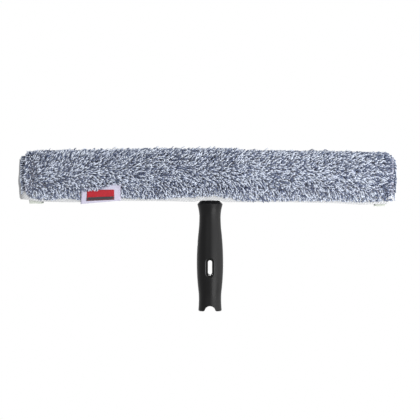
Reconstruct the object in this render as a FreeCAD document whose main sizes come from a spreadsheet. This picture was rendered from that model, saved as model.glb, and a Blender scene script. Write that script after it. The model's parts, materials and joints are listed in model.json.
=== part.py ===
import FreeCAD, Part
import math
import os
from types import SimpleNamespace

import Sketcher

# Window scrubber: a T-bar with a tapered handle, and a tufted washer sleeve round its crossbar.
# Millimetres. The origin is the centre of the handle's open end, +Z runs up the handle,
# X runs along the crossbar and the front of the sleeve faces -Y.

doc = FreeCAD.newDocument("window_scrubber")

# Driving dimensions
SIZES = [
    ("handle_top", 133.7, "height of the handle's upper end"),
    ("foot_radius", 14.1, "outside of the handle at its open end"),
    ("waist_radius", 13.5, "narrowest place above the open end"),
    ("waist_height", 15.6, "height of that place"),
    ("belly_radius", 16.0, "widest place of the grip"),
    ("belly_height", 58.0, "height of that place"),
    ("neck_radius", 12.9, "narrowest place below the collar"),
    ("neck_height", 113.5, "height of that place"),
    ("collar_radius", 15.4, "widest place of the collar"),
    ("collar_height", 129.4, "height of that place"),
    ("collar_top_radius", 11.6, "top face of the collar"),
    ("lower_turn", 0.21, "share of the lower curve that bends outwards"),
    ("upper_turn", 0.71, "share of the upper curve that bends inwards"),
    ("foot_round", 1.6, "rounding of the open end"),
    ("collar_round", 1.2, "rounding of the collar's widest edge"),
    ("top_round", 0.6, "rounding of the collar's top edge"),
    ("socket_radius", 10.5, "pole socket"),
    ("socket_depth", 91.0, "depth of the pole socket"),
    ("screw_recess_radius", 5.6, "recess for the screw's head"),
    ("screw_recess_depth", 4.0, "depth of that recess"),
    ("bulkhead_top", 100.0, "floor of the stem's pocket"),
    ("lock_slot_width", 5.0, "slot for the pole's spring button"),
    ("lock_slot_length", 17.9, "length of that slot"),
    ("lock_slot_height", 52.85, "height of the slot's middle"),
    ("slot_rim", 2.6, "width of the sunk rim round the slot"),
    ("slot_rim_depth", 2.0, "depth of the sunk rim"),
    ("slot_rim_round", 0.4, "rounding of the rim's outer edge"),
    ("notch_radius", 6.5, "arched notch across the open end"),
    ("notch_foot", 2.8, "rounding where the arch meets the open end"),
    ("stem_radius", 8.0, "stem that the handle is pushed on"),
    ("stem_flat", 5.5, "half of the stem across its flats"),
    ("stem_gap", 0.1, "gap between the stem and its pocket"),
    ("stem_bottom", 101.0, "lower end of the stem"),
    ("screw_radius", 2.1, "shank of the handle screw"),
    ("screw_clearance", 0.2, "gap round the shank in the handle and the washer"),
    ("pilot_clearance", 0.05, "gap round the shank in the stem, and round the rivets"),
    ("pilot_spare", 2.0, "depth of the pilot hole past the screw's tip"),
    ("screw_tip", 117.0, "upper end of the handle screw"),
    ("screw_head_radius", 4.2, "head of the handle screw"),
    ("screw_head_height", 2.6, "height of that head"),
    ("washer_radius", 5.2, "washer under the screw's head"),
    ("washer_thick", 1.0, "thickness of that washer"),
    ("bar_length", 432.0, "crossbar tube"),
    ("bar_height", 40.0, "height of the tube"),
    ("bar_thick", 15.0, "thickness of the tube"),
    ("bar_wall", 1.6, "wall of the tube"),
    ("bar_middle", 166.4, "height of the tube's middle"),
    ("water_slot_length", 22.0, "slots that let water into the tube"),
    ("water_slot_width", 10.0, "width of those slots"),
    ("water_slot_first", 48.0, "first slot from the middle"),
    ("water_slot_pitch", 36.0, "distance between slots"),
    ("water_slot_count", 5, "slots on each side of the handle"),
    ("tongue_half", 26.0, "half length of the T-head inside the tube"),
    ("tongue_top", 180.4, "top of the T-head"),
    ("tongue_round", 6.0, "rounding of the T-head's upper corners"),
    ("mouth_gap", 0.3, "gap between the T-head and the tube's mouth"),
    ("neck_half", 10.0, "half width of the T-head below the tube"),
    ("rivet_radius", 2.0, "rivets through the tube and the T-head"),
    ("rivet_offset", 18.0, "rivets from the middle"),
    ("rivet_head_radius", 4.0, "rivet heads"),
    ("rivet_head_height", 1.2, "height of the rivet heads"),
    ("plug_head", 3.0, "end plug outside the tube"),
    ("plug_depth", 9.0, "end plug inside the tube"),
    ("plug_wall", 2.0, "wall of the end plug"),
    ("plug_gap", 0.1, "gap between the end plug and the tube"),
    ("cloth", 1.4, "thickness of the sleeve's base cloth"),
    ("sleeve_gap", 1.6, "room between the tube and the cloth"),
    ("pile_depth", 7.4, "length of the tufted pile"),
    ("sleeve_left", 223.4, "left end of the cloth from the middle"),
    ("sleeve_right", 221.3, "right end of the cloth from the middle"),
    ("pile_left", 229.0, "left end of the pile"),
    ("pile_right", 225.5, "right end of the pile"),
    ("pile_end_round", 11.0, "rounding of the pile's ends"),
    ("cut_spare", 1.0, "how far a cutting block stands out of the pile"),
    ("pile_shoulder", 178.9, "height where the pile turns over the top"),
    ("pile_haunch", 153.9, "height where the pile turns under"),
    ("pile_front_edge", 139.5, "lower edge of the pile in front"),
    ("pile_rear_edge", 144.3, "lower edge of the pile behind"),
    ("hem_top", 144.2, "seam between the base cloth and the front hem"),
    ("hem_bottom", 134.2, "lower edge of the front hem"),
    ("binding_edge", 231.5, "left edge of the bound end seam"),
    ("binding_bottom", 136.0, "lower end of that binding"),
    ("binding_top", 185.0, "upper end of that binding"),
    ("binding_thick", 3.2, "thickness of the folded binding"),
    ("flap_inner", 17.0, "closing flap's end beside the neck"),
    ("flap_outer_left", 218.0, "outer end of the left closing flap"),
    ("flap_outer_right", 214.0, "outer end of the right closing flap"),
    ("flap_top", 143.4, "upper face of the closing flap"),
    ("flap_front", 6.4, "front face of the closing flap's fin"),
    ("tape_thick", 1.2, "hook tape and loop tape"),
    ("tape_gap", 0.3, "gap between hooks and loops"),
    ("tape_bottom", 135.2, "lower edge of both tapes"),
    ("tape_top", 141.6, "upper edge of both tapes"),
    ("tab_thick", 1.2, "pull tab"),
    ("tab_bottom", 130.8, "lower edge of the pull tabs"),
    ("tab_top", 140.6, "upper edge of the pull tabs"),
    ("left_tab_outer", 220.6, "outer edge of the left pull tab"),
    ("left_tab_inner", 201.2, "inner edge of the left pull tab"),
    ("right_tab_outer", 214.5, "outer edge of the right pull tab"),
    ("right_tab_inner", 200.0, "inner edge of the right pull tab"),
    ("label_outer", 156.0, "left edge of the sewn label"),
    ("label_inner", 109.0, "right edge of the sewn label"),
    ("label_top", 149.0, "upper edge of the sewn label"),
    ("label_bottom", 131.2, "lower edge of the sewn label"),
    ("label_thick", 0.5, "thickness of the sewn label"),
    ("label_gap", 0.1, "gap between the label and the pile"),
]


class Size:
    """A number that keeps the sheet formula it comes from."""

    def __init__(self, value, formula):
        self.value = float(value)
        self.formula = formula

    def __add__(self, other):
        other = as_size(other)
        return Size(self.value + other.value, f"({self.formula} + {other.formula})")

    def __sub__(self, other):
        other = as_size(other)
        return Size(self.value - other.value, f"({self.formula} - {other.formula})")

    def __mul__(self, other):
        other = as_size(other)
        return Size(self.value * other.value, f"({self.formula} * {other.formula})")

    def __truediv__(self, other):
        other = as_size(other)
        return Size(self.value / other.value, f"({self.formula} / {other.formula})")

    def __radd__(self, other):
        return as_size(other) + self

    def __rsub__(self, other):
        return as_size(other) - self

    def __rmul__(self, other):
        return as_size(other) * self

    def __neg__(self):
        return Size(-self.value, f"(-1 * {self.formula})")


def as_size(number):
    return number if isinstance(number, Size) else Size(number, f"{float(number)}")


def leg(slant, other):
    """The second short side of a right triangle."""
    slant, other = as_size(slant), as_size(other)
    value = math.sqrt(slant.value ** 2 - other.value ** 2)
    return Size(value, f"sqrt({slant.formula} ^ 2 - {other.formula} ^ 2)")


sheet = doc.addObject("Spreadsheet::Sheet", "Sizes")
dim = SimpleNamespace()
for row, (alias, number, note) in enumerate(SIZES, start=1):
    sheet.set(f"A{row}", note)
    sheet.set(f"B{row}", str(number))
    sheet.setAlias(f"B{row}", alias)
    setattr(dim, alias, Size(number, f"Sizes.{alias}"))
doc.recompute()

# Levels and offsets that follow from the driving dimensions
bar_radius = dim.bar_thick / 2
bar_bottom = dim.bar_middle - dim.bar_height / 2
bar_half = dim.bar_length / 2
cloth_inner = bar_radius + dim.sleeve_gap
cloth_outer = cloth_inner + dim.cloth
pile_outer = cloth_outer + dim.pile_depth
washer_top = dim.socket_depth + dim.screw_recess_depth
washer_bottom = washer_top - dim.washer_thick
hinge_y = cloth_outer - dim.cloth / 2
hinge_z = dim.flap_top - dim.cloth / 2
fin_back = dim.flap_front - dim.cloth

LEFT, RIGHT = -1, 1
SIDES = {"left": LEFT, "right": RIGHT}

# How close two places count as the same one
TOUCH = 0.01


# Sketches: an outline is a start point and moves to further points
def line(x, y):
    return SimpleNamespace(x=as_size(x), y=as_size(y), centre=None, turn=0)


def arc(x, y, centre, turn):
    """An arc to (x, y) about a centre; turn is 1 counter-clockwise, -1 clockwise."""
    return SimpleNamespace(x=as_size(x), y=as_size(y), centre=centre, turn=turn)


def pin_point(sketch, geometry, corner, x, y):
    for kind, place in (("DistanceX", x), ("DistanceY", y)):
        pin_coordinate(sketch, kind, geometry, corner, place)


def pin_coordinate(sketch, kind, geometry, corner, place):
    rule = Sketcher.Constraint(kind, -1, 1, geometry, corner, place.value)
    index = sketch.addConstraint(rule)
    sketch.setExpression(f"Constraints[{index}]", place.formula)


def add_outline(sketch, start, moves):
    """Draws a closed outline and ties every corner to the sheet."""
    first = line(*start)
    at = first
    ends = []
    for move in moves + [first]:
        begin = FreeCAD.Vector(at.x.value, at.y.value, 0)
        end = FreeCAD.Vector(move.x.value, move.y.value, 0)
        if (end - begin).Length < TOUCH:
            continue
        if move.turn == 0:
            geometry = sketch.addGeometry(Part.LineSegment(begin, end))
            ends.append((geometry, 1, 2, at))
        else:
            centre_x, centre_y = (as_size(part) for part in move.centre)
            centre = FreeCAD.Vector(centre_x.value, centre_y.value, 0)
            circle = Part.Circle(centre, FreeCAD.Vector(0, 0, 1), (begin - centre).Length)
            low, high = (begin, end) if move.turn > 0 else (end, begin)
            angles = [math.atan2(p.y - centre.y, p.x - centre.x) for p in (low, high)]
            geometry = sketch.addGeometry(Part.ArcOfCircle(circle, *angles))
            ends.append((geometry, 1, 2, at) if move.turn > 0 else (geometry, 2, 1, at))
            upright = abs(end.y - begin.y) > abs(end.x - begin.x)
            if upright:
                pin_coordinate(sketch, "DistanceX", geometry, 3, centre_x)
            else:
                pin_coordinate(sketch, "DistanceY", geometry, 3, centre_y)
        at = move
    for (geometry, _, tail, _), (following, head, _, _) in zip(ends, ends[1:] + ends[:1]):
        sketch.addConstraint(Sketcher.Constraint("Coincident", geometry, tail, following, head))
    for geometry, head, _, corner in ends:
        pin_point(sketch, geometry, head, corner.x, corner.y)


def add_circle(sketch, x, y, radius):
    x, y, radius = as_size(x), as_size(y), as_size(radius)
    centre = FreeCAD.Vector(x.value, y.value, 0)
    circle = Part.Circle(centre, FreeCAD.Vector(0, 0, 1), radius.value)
    geometry = sketch.addGeometry(circle)
    pin_point(sketch, geometry, 3, x, y)
    index = sketch.addConstraint(Sketcher.Constraint("Radius", geometry, radius.value))
    sketch.setExpression(f"Constraints[{index}]", radius.formula)


def new_body(label):
    body = doc.addObject("PartDesign::Body", label)
    body.Label = label
    return body


def new_sketch(body, role, level=None):
    """A sketch on one of the body's own planes, moved along the plane's normal to a level."""
    sketch = body.newObject("Sketcher::SketchObject", f"{body.Name}_sketch")
    plane = next(part for part in body.Origin.OriginFeatures if part.Role == role)
    sketch.AttachmentSupport = [(plane, "")]
    sketch.MapMode = "FlatFace"
    if level is not None:
        sketch.setExpression("AttachmentOffset.Base.z", as_size(level).formula)
    return sketch


def outline_sketch(body, role, start, moves, level=None):
    sketch = new_sketch(body, role, level)
    add_outline(sketch, start, moves)
    return sketch


# Features
def pad(body, sketch, length, both_ways=False, backwards=False, length_back=None):
    feature = body.newObject("PartDesign::Pad", f"{body.Name}_pad")
    feature.Profile = sketch
    sketch.Visibility = False
    feature.setExpression("Length", as_size(length).formula)
    feature.Reversed = backwards
    if both_ways:
        feature.SideType = "Symmetric"
    if length_back is not None:
        feature.SideType = "Two sides"
        feature.setExpression("Length2", as_size(length_back).formula)
    doc.recompute()
    return feature


def pocket(body, sketch, depth, both_ways=False, backwards=False):
    """Cuts the sketch out of the body, and stops if nothing was cut."""
    before = body.Shape.Volume
    feature = body.newObject("PartDesign::Pocket", f"{body.Name}_pocket")
    feature.Profile = sketch
    feature.setExpression("Length", as_size(depth).formula)
    feature.Reversed = backwards
    if both_ways:
        feature.SideType = "Symmetric"
    doc.recompute()
    if body.Shape.Volume > before - TOUCH:
        raise RuntimeError(f"{body.Label}: a pocket cuts nothing")
    return feature


def revolve(body, sketch):
    feature = body.newObject("PartDesign::Revolution", f"{body.Name}_revolution")
    feature.Profile = sketch
    feature.ReferenceAxis = (sketch, ["V_Axis"])
    feature.Angle = 360
    doc.recompute()
    return feature


def round_edges(body, radius, chosen):
    """Rounds the edges of the body's last feature that the test picks."""
    base = body.Tip
    names = [f"Edge{i}" for i, edge in enumerate(base.Shape.Edges, start=1) if chosen(edge)]
    feature = body.newObject("PartDesign::Fillet", f"{body.Name}_rounding")
    feature.Base = (base, names)
    feature.setExpression("Radius", as_size(radius).formula)
    doc.recompute()
    return feature


# Outlines that return
def obround(x, y, half_width, half_length, upright):
    """A slot with round ends, as a start point and moves."""
    straight = half_length - half_width
    if upright:
        start = (x + half_width, y - straight)
        moves = [
            line(x + half_width, y + straight),
            arc(x - half_width, y + straight, (x, y + straight), 1),
            line(x - half_width, y - straight),
            arc(x + half_width, y - straight, (x, y - straight), 1),
        ]
    else:
        start = (x - straight, y - half_width)
        moves = [
            line(x + straight, y - half_width),
            arc(x + straight, y + half_width, (x + straight, y), 1),
            line(x - straight, y + half_width),
            arc(x - straight, y - half_width, (x - straight, y), 1),
        ]
    return start, moves


def double_d(radius, half_flat):
    corner = leg(radius, half_flat)
    moves = [
        line(corner, -half_flat),
        arc(corner, half_flat, (0, 0), 1),
        line(-corner, half_flat),
        arc(-corner, -half_flat, (0, 0), 1),
    ]
    return (-corner, -half_flat), moves


def strip(front, back, bottom, top):
    """A flat strip in section, its lower edge folded round."""
    middle = (front + back) / 2
    moves = [
        arc(back, bottom + (back - front) / 2, (middle, bottom + (back - front) / 2), 1),
        line(back, top),
        line(front, top),
    ]
    return (front, bottom + (back - front) / 2), moves


def pad_along_bar(body, section, left_end, right_end):
    """Pads a Y-Z section from its left end to its right end along X."""
    level = as_size(left_end)
    sketch = outline_sketch(body, "YZ_Plane", *section, level=level)
    return pad(body, sketch, as_size(right_end) - level)


# Handle: a tapered grip with a pole socket below and a keyed pocket for the stem above
def grip_curve(r0, z0, r1, z1, share, turn):
    """Two arcs that leave and arrive upright and meet on the line between their ends."""
    rise, swell = z1 - z0, r1 - r0
    whole = (rise * rise + swell * swell) / (2 * swell)
    joint = (r0 + share * swell, z0 + share * rise)
    first_centre = (r0 + share * whole, z0)
    last_centre = (r1 - (1 - share) * whole, z1)
    return [arc(*joint, first_centre, -turn), arc(r1, z1, last_centre, turn)]


def flank_centre(narrow, narrow_z, wide, wide_z):
    """Centre of the arc that is upright at the narrow place and reaches the wide one."""
    rise, swell = wide_z - narrow_z, wide - narrow
    return (narrow + (rise * rise + swell * swell) / (2 * swell), narrow_z)


def handle():
    body = new_body("handle")
    foot = dim.foot_round
    waist_arc = flank_centre(dim.waist_radius, dim.waist_height, dim.foot_radius, foot)
    collar_arc = flank_centre(dim.neck_radius, dim.neck_height, dim.collar_radius, dim.collar_height)
    waist = (dim.waist_radius, dim.waist_height)
    belly = (dim.belly_radius, dim.belly_height)
    neck = (dim.neck_radius, dim.neck_height)
    moves = [
        line(dim.foot_radius - foot, 0),
        arc(dim.foot_radius, foot, (dim.foot_radius - foot, foot), 1),
        arc(*waist, waist_arc, -1),
        *grip_curve(*waist, *belly, dim.lower_turn, 1),
        *grip_curve(*belly, *neck, dim.upper_turn, -1),
        arc(dim.collar_radius, dim.collar_height, collar_arc, -1),
        line(dim.collar_top_radius, dim.handle_top),
        line(0, dim.handle_top),
        line(0, washer_top),
        line(dim.screw_recess_radius, washer_top),
        line(dim.screw_recess_radius, dim.socket_depth),
        line(dim.socket_radius, dim.socket_depth),
    ]
    revolve(body, outline_sketch(body, "XZ_Plane", (dim.socket_radius, 0), moves))

    collar_z, top_z = dim.collar_height.value, dim.handle_top.value
    round_edges(body, dim.collar_round, lambda edge: edge_at_height(edge, collar_z))
    round_edges(body, dim.top_round, lambda edge: edge_at_height(edge, top_z))

    stem = double_d(dim.stem_radius + dim.stem_gap, dim.stem_flat + dim.stem_gap)
    pocket(body, outline_sketch(body, "XY_Plane", *stem, level=dim.handle_top),
           dim.handle_top - dim.bulkhead_top)
    hole = new_sketch(body, "XY_Plane", dim.bulkhead_top)
    add_circle(hole, 0, 0, dim.screw_radius + dim.screw_clearance)
    pocket(body, hole, dim.bulkhead_top - washer_top)

    cut_lock_slot(body)
    cut_end_notch(body)
    return body


def edge_at_height(edge, height):
    box = edge.BoundBox
    return abs(box.ZMin - height) < TOUCH and abs(box.ZMax - height) < TOUCH


def cut_lock_slot(body):
    """The slot goes through both walls; a sunk rim surrounds it on each side."""
    slot = obround(as_size(0), dim.lock_slot_height, dim.lock_slot_width / 2,
                   dim.lock_slot_length / 2, upright=True)
    pocket(body, outline_sketch(body, "XZ_Plane", *slot), 3 * dim.belly_radius, both_ways=True)
    rim = obround(as_size(0), dim.lock_slot_height, dim.lock_slot_width / 2 + dim.slot_rim,
                  dim.lock_slot_length / 2 + dim.slot_rim, upright=True)
    rim_floor = dim.belly_radius - dim.slot_rim_depth
    for side in SIDES.values():
        sketch = outline_sketch(body, "XZ_Plane", *rim, level=side * rim_floor)
        pocket(body, sketch, dim.belly_radius, backwards=side > 0)
    reach = dim.lock_slot_width.value / 2 + dim.slot_rim.value
    round_edges(body, dim.slot_rim_round, lambda edge: edge_of_rim(edge, rim_floor.value, reach))


def edge_of_rim(edge, floor, reach):
    """True for the outer edge of either sunk rim, above its floor."""
    box = edge.BoundBox
    above = min(abs(box.YMin), abs(box.YMax)) > floor + TOUCH and box.YMin * box.YMax > 0
    return above and max(abs(box.XMin), abs(box.XMax)) < reach + TOUCH and box.ZMin > 0


def cut_end_notch(body):
    """An arch across the open end, with rounded feet beside it."""
    arch, foot = dim.notch_radius, dim.notch_foot
    foot_x = leg(arch + foot, foot)
    share = arch / (arch + foot)
    below = -foot
    moves = [
        line(foot_x, 0),
        arc(share * foot_x, share * foot, (foot_x, foot), -1),
        arc(-(share * foot_x), share * foot, (0, 0), 1),
        arc(-foot_x, 0, (-foot_x, foot), -1),
        line(-foot_x, below),
    ]
    sketch = outline_sketch(body, "XZ_Plane", (foot_x, below), moves)
    pocket(body, sketch, 3 * dim.foot_radius, both_ways=True)


# Handle screw and its washer, seated in the recess at the top of the socket
def handle_screw():
    body = new_body("handle_screw")
    head_bottom = washer_bottom - dim.screw_head_height
    edge = dim.screw_head_height / 2
    moves = [
        line(dim.screw_head_radius - edge, head_bottom),
        arc(dim.screw_head_radius, head_bottom + edge,
            (dim.screw_head_radius - edge, head_bottom + edge), 1),
        line(dim.screw_head_radius, washer_bottom),
        line(dim.screw_radius, washer_bottom),
        line(dim.screw_radius, dim.screw_tip - dim.screw_radius),
        line(0, dim.screw_tip),
    ]
    revolve(body, outline_sketch(body, "XZ_Plane", (as_size(0), head_bottom), moves))
    arm = obround(as_size(0), as_size(0), dim.screw_radius / 4, dim.screw_radius, upright=True)
    bar = obround(as_size(0), as_size(0), dim.screw_radius / 4, dim.screw_radius, upright=False)
    for blade in (arm, bar):
        sketch = outline_sketch(body, "XY_Plane", *blade, level=head_bottom)
        pocket(body, sketch, dim.screw_head_height / 2, backwards=True)
    return body


def screw_washer():
    body = new_body("screw_washer")
    sketch = new_sketch(body, "XY_Plane", washer_bottom)
    add_circle(sketch, 0, 0, dim.washer_radius)
    add_circle(sketch, 0, 0, dim.screw_radius + dim.screw_clearance)
    pad(body, sketch, dim.washer_thick)
    return body


# T-head: a keyed stem, a neck and a tongue that is riveted inside the crossbar
def t_head():
    body = new_body("t_head")
    stem = double_d(dim.stem_radius, dim.stem_flat)
    pad(body, outline_sketch(body, "XY_Plane", *stem, level=dim.stem_bottom),
        dim.handle_top - dim.stem_bottom)
    half, top, bend = dim.tongue_half, dim.tongue_top, dim.tongue_round
    throat = bar_bottom + dim.bar_wall
    moves = [
        line(dim.neck_half, throat - bend / 2),
        arc(dim.neck_half + bend / 2, throat, (dim.neck_half + bend / 2, throat - bend / 2), -1),
        line(half, throat),
        line(half, top - bend),
        arc(half - bend, top, (half - bend, top - bend), 1),
        line(bend - half, top),
        arc(-half, top - bend, (bend - half, top - bend), 1),
        line(-half, throat),
        line(-(dim.neck_half + bend / 2), throat),
        arc(-dim.neck_half, throat - bend / 2,
            (-(dim.neck_half + bend / 2), throat - bend / 2), -1),
        line(-dim.neck_half, dim.handle_top),
    ]
    sketch = outline_sketch(body, "XZ_Plane", (dim.neck_half, dim.handle_top), moves)
    pad(body, sketch, 2 * dim.stem_flat, both_ways=True)

    pilot = new_sketch(body, "XY_Plane", dim.stem_bottom)
    add_circle(pilot, 0, 0, dim.screw_radius + dim.pilot_clearance)
    pocket(body, pilot, dim.screw_tip - dim.stem_bottom + dim.pilot_spare, backwards=True)
    drill_rivet_holes(body)
    return body


def drill_rivet_holes(body):
    sketch = new_sketch(body, "XZ_Plane")
    for side in SIDES.values():
        add_circle(sketch, side * dim.rivet_offset, dim.bar_middle,
                   dim.rivet_radius + dim.pilot_clearance)
    pocket(body, sketch, 2 * dim.bar_thick, both_ways=True)


# Crossbar: an extruded tube with water slots, open below for the T-head
def tube_section(half_width):
    return obround(as_size(0), dim.bar_middle, half_width,
                   dim.bar_height / 2 - bar_radius + half_width, upright=True)


def crossbar():
    body = new_body("crossbar")
    sketch = new_sketch(body, "YZ_Plane")
    add_outline(sketch, *tube_section(bar_radius))
    add_outline(sketch, *tube_section(bar_radius - dim.bar_wall))
    pad(body, sketch, dim.bar_length, both_ways=True)

    mouth_half = dim.stem_flat + dim.mouth_gap
    mouth = obround(as_size(0), as_size(0), mouth_half,
                    dim.tongue_half + dim.mouth_gap + mouth_half, upright=False)
    pocket(body, outline_sketch(body, "XY_Plane", *mouth, level=bar_bottom),
           bar_radius, backwards=True)
    drill_rivet_holes(body)
    for side in SIDES.values():
        slot = obround(side * dim.water_slot_first, dim.bar_middle, dim.water_slot_width / 2,
                       dim.water_slot_length / 2, upright=False)
        sketch = outline_sketch(body, "XZ_Plane", *slot)
        cut = pocket(body, sketch, 2 * dim.bar_thick, both_ways=True)
        row = body.newObject("PartDesign::LinearPattern", f"{body.Name}_slot_row")
        row.Originals = [cut]
        row.Direction = (sketch, ["H_Axis"])
        row.Reversed = side < 0
        row.setExpression("Length", (dim.water_slot_pitch * (dim.water_slot_count - 1)).formula)
        row.setExpression("Occurrences", dim.water_slot_count.formula)
        body.Tip = row
        doc.recompute()
    return body


def end_plug(name, side):
    """A cap with a hollow spigot, pressed into one end of the tube."""
    body = new_body(f"{name}_end_plug")
    spigot = bar_radius - dim.bar_wall - dim.plug_gap
    face = side * bar_half
    outward = side > 0
    head = outline_sketch(body, "YZ_Plane", *tube_section(bar_radius), level=face)
    pad(body, head, dim.plug_head, backwards=not outward)
    outer_x = side * (bar_half + dim.plug_head).value
    round_edges(body, dim.plug_head / 2, lambda edge: edge_at_station(edge, outer_x))
    core = outline_sketch(body, "YZ_Plane", *tube_section(spigot), level=face)
    pad(body, core, dim.plug_depth, backwards=outward)
    inner = side * (bar_half - dim.plug_depth)
    hollow = outline_sketch(body, "YZ_Plane", *tube_section(spigot - dim.plug_wall), level=inner)
    pocket(body, hollow, dim.plug_depth, backwards=outward)
    return body


def edge_at_station(edge, station):
    box = edge.BoundBox
    return abs(box.XMin - station) < TOUCH and abs(box.XMax - station) < TOUCH


def crossbar_rivets():
    """Two domed rivets through the tube and the tongue."""
    rivets = []
    half = bar_radius
    dome = (dim.rivet_head_radius * dim.rivet_head_radius
            + dim.rivet_head_height * dim.rivet_head_height) / (2 * dim.rivet_head_height)
    for name, side in SIDES.items():
        body = new_body(f"{name}_rivet")
        tip = half + dim.rivet_head_height
        moves = [
            arc(dim.rivet_head_radius, -half, (0, dome - tip), 1),
            line(dim.rivet_radius, -half),
            line(dim.rivet_radius, half),
            line(dim.rivet_head_radius, half),
            arc(0, tip, (0, tip - dome), 1),
        ]
        revolve(body, outline_sketch(body, "XY_Plane", (as_size(0), -tip), moves))
        body.setExpression("Placement.Base.x", (side * dim.rivet_offset).formula)
        body.setExpression("Placement.Base.z", dim.bar_middle.formula)
        rivets.append(body)
    group = doc.addObject("Part::Compound", "crossbar_rivets")
    group.Label = "crossbar_rivets"
    group.Links = rivets
    return group


# Sleeve: base cloth in an inverted U, end panels and a front hem
def sleeve_backing():
    body = new_body("sleeve_backing")
    shoulder = dim.pile_shoulder
    middle = (0, shoulder)
    rear_end = dim.flap_top + 2 * dim.tape_gap
    moves = [
        line(-cloth_inner, shoulder),
        arc(cloth_inner, shoulder, middle, -1),
        line(cloth_inner, rear_end),
        line(cloth_outer, rear_end),
        line(cloth_outer, shoulder),
        arc(-cloth_outer, shoulder, middle, 1),
        line(-cloth_outer, dim.hem_top),
    ]
    section = ((-cloth_inner, dim.hem_top), moves)
    pad_along_bar(body, section, dim.cloth - dim.sleeve_left, dim.sleeve_right - dim.cloth)
    return body


def end_panel(name, side):
    body = new_body(f"{name}_end_panel")
    outer = dim.sleeve_left if side < 0 else dim.sleeve_right
    left_end = -outer if side < 0 else outer - dim.cloth
    shoulder = dim.pile_shoulder
    moves = [
        line(cloth_outer, dim.hem_top),
        line(cloth_outer, shoulder),
        arc(-cloth_outer, shoulder, (0, shoulder), 1),
    ]
    pad_along_bar(body, ((-cloth_outer, dim.hem_top), moves), left_end, left_end + dim.cloth)
    return body


def front_hem():
    body = new_body("front_hem")
    section = strip(-cloth_outer, -cloth_inner, dim.hem_bottom, dim.hem_top)
    pad_along_bar(body, section, dim.cloth - dim.sleeve_left, dim.sleeve_right - dim.cloth)
    return body


# Pile: one loaf, rounded at its ends, divided into the cover and the two end pieces
def pile_loaf():
    """A full round loaf with rounded ends, cut off below along the edges of the pile."""
    body = new_body("whole_loaf")
    shoulder, haunch = dim.pile_shoulder, dim.pile_haunch
    section = obround(as_size(0), (shoulder + haunch) / 2, pile_outer,
                      (shoulder - haunch) / 2 + pile_outer, upright=True)
    pad_along_bar(body, section, -dim.pile_left, dim.pile_right)
    stations = (-dim.pile_left.value, dim.pile_right.value)
    round_edges(body, dim.pile_end_round,
                lambda edge: any(edge_at_station(edge, station) for station in stations))

    under = new_body("pile_underside")
    room = pile_outer + dim.cut_spare
    depth = haunch - room
    moves = [
        line(room, depth),
        line(room, dim.pile_rear_edge),
        line(cloth_outer, dim.pile_rear_edge),
        line(-cloth_outer, dim.pile_front_edge),
        line(-room, dim.pile_front_edge),
    ]
    pad_along_bar(under, ((-room, depth), moves), -dim.binding_edge, dim.binding_edge)
    return combine("Part::Cut", "pile_loaf", body, under)


def block(name, low, high):
    """A box between two corners, tied to the sheet."""
    box = doc.addObject("Part::Box", name)
    for axis, size_name, start, end in zip("xyz", ("Length", "Width", "Height"), low, high):
        start, end = as_size(start), as_size(end)
        box.setExpression(f"Placement.Base.{axis}", start.formula)
        box.setExpression(size_name, (end - start).formula)
    return box


def combine(kind, name, base, tool):
    result = doc.addObject(kind, name)
    result.Label = name
    result.Base = base
    result.Tool = tool
    return result


def pile_pieces():
    """The loaf over the cloth, and what is left of it at each end."""
    loaf = pile_loaf()
    room = pile_outer + dim.cut_spare
    floor, ceiling = dim.hem_bottom, dim.pile_shoulder + room
    left_end, right_end, beyond = -dim.sleeve_left, dim.sleeve_right, dim.binding_edge
    middle = block("pile_middle", (left_end, -room, floor), (right_end, room, ceiling))
    left = block("pile_left_room", (-beyond, -room, floor), (left_end, room, ceiling))
    right = block("pile_right_room", (right_end, -room, floor), (beyond, room, ceiling))

    core = new_body("cloth_core")
    shoulder = dim.pile_shoulder
    moves = [
        line(cloth_outer, floor),
        line(cloth_outer, shoulder),
        arc(-cloth_outer, shoulder, (0, shoulder), 1),
    ]
    pad_along_bar(core, ((-cloth_outer, floor), moves), -beyond, beyond)
    outer = combine("Part::Common", "pile_middle_loaf", loaf, middle)
    left_loaf = combine("Part::Common", "pile_left_loaf", loaf, left)
    binding = left_end_binding()
    return [
        combine("Part::Cut", "pile_cover", outer, core),
        combine("Part::Cut", "left_end_pile", left_loaf, binding),
        combine("Part::Common", "right_end_pile", loaf, right),
        binding,
    ]


def left_end_binding():
    """The folded tape that closes the left end seam and stands out through the pile."""
    body = new_body("left_end_binding")
    half = dim.binding_thick / 2
    outer, inner = dim.binding_edge, dim.sleeve_left
    moves = [
        line(-inner, half),
        line(half - outer, half),
        arc(half - outer, -half, (half - outer, 0), 1),
    ]
    sketch = outline_sketch(body, "XY_Plane", (-inner, -half), moves, level=dim.binding_bottom)
    pad(body, sketch, dim.binding_top - dim.binding_bottom)
    return body


def sewn_label():
    """A thin patch laid over the lower front of the pile and down the hem."""
    body = new_body("sewn_label")
    haunch = dim.pile_haunch
    inner = pile_outer + dim.label_gap
    outer = inner + dim.label_thick
    drop = haunch - dim.label_top
    tail_back = cloth_outer + dim.label_gap
    tail_front = tail_back + dim.label_thick
    moves = [
        line(-tail_back, dim.label_bottom),
        line(-tail_back, haunch - leg(inner, tail_back)),
        arc(-leg(inner, drop), dim.label_top, (0, haunch), -1),
        line(-leg(outer, drop), dim.label_top),
        arc(-tail_front, haunch - leg(outer, tail_front), (0, haunch), 1),
    ]
    pad_along_bar(body, ((-tail_front, dim.label_bottom), moves), -dim.label_outer, -dim.label_inner)
    return body


# Closing flaps: each hangs on the rear edge of the sleeve and fastens behind the front hem
def along(side, inner, outer):
    """Left and right ends on X of a piece between two distances from the middle."""
    return (-outer, -inner) if side < 0 else (inner, outer)


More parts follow.
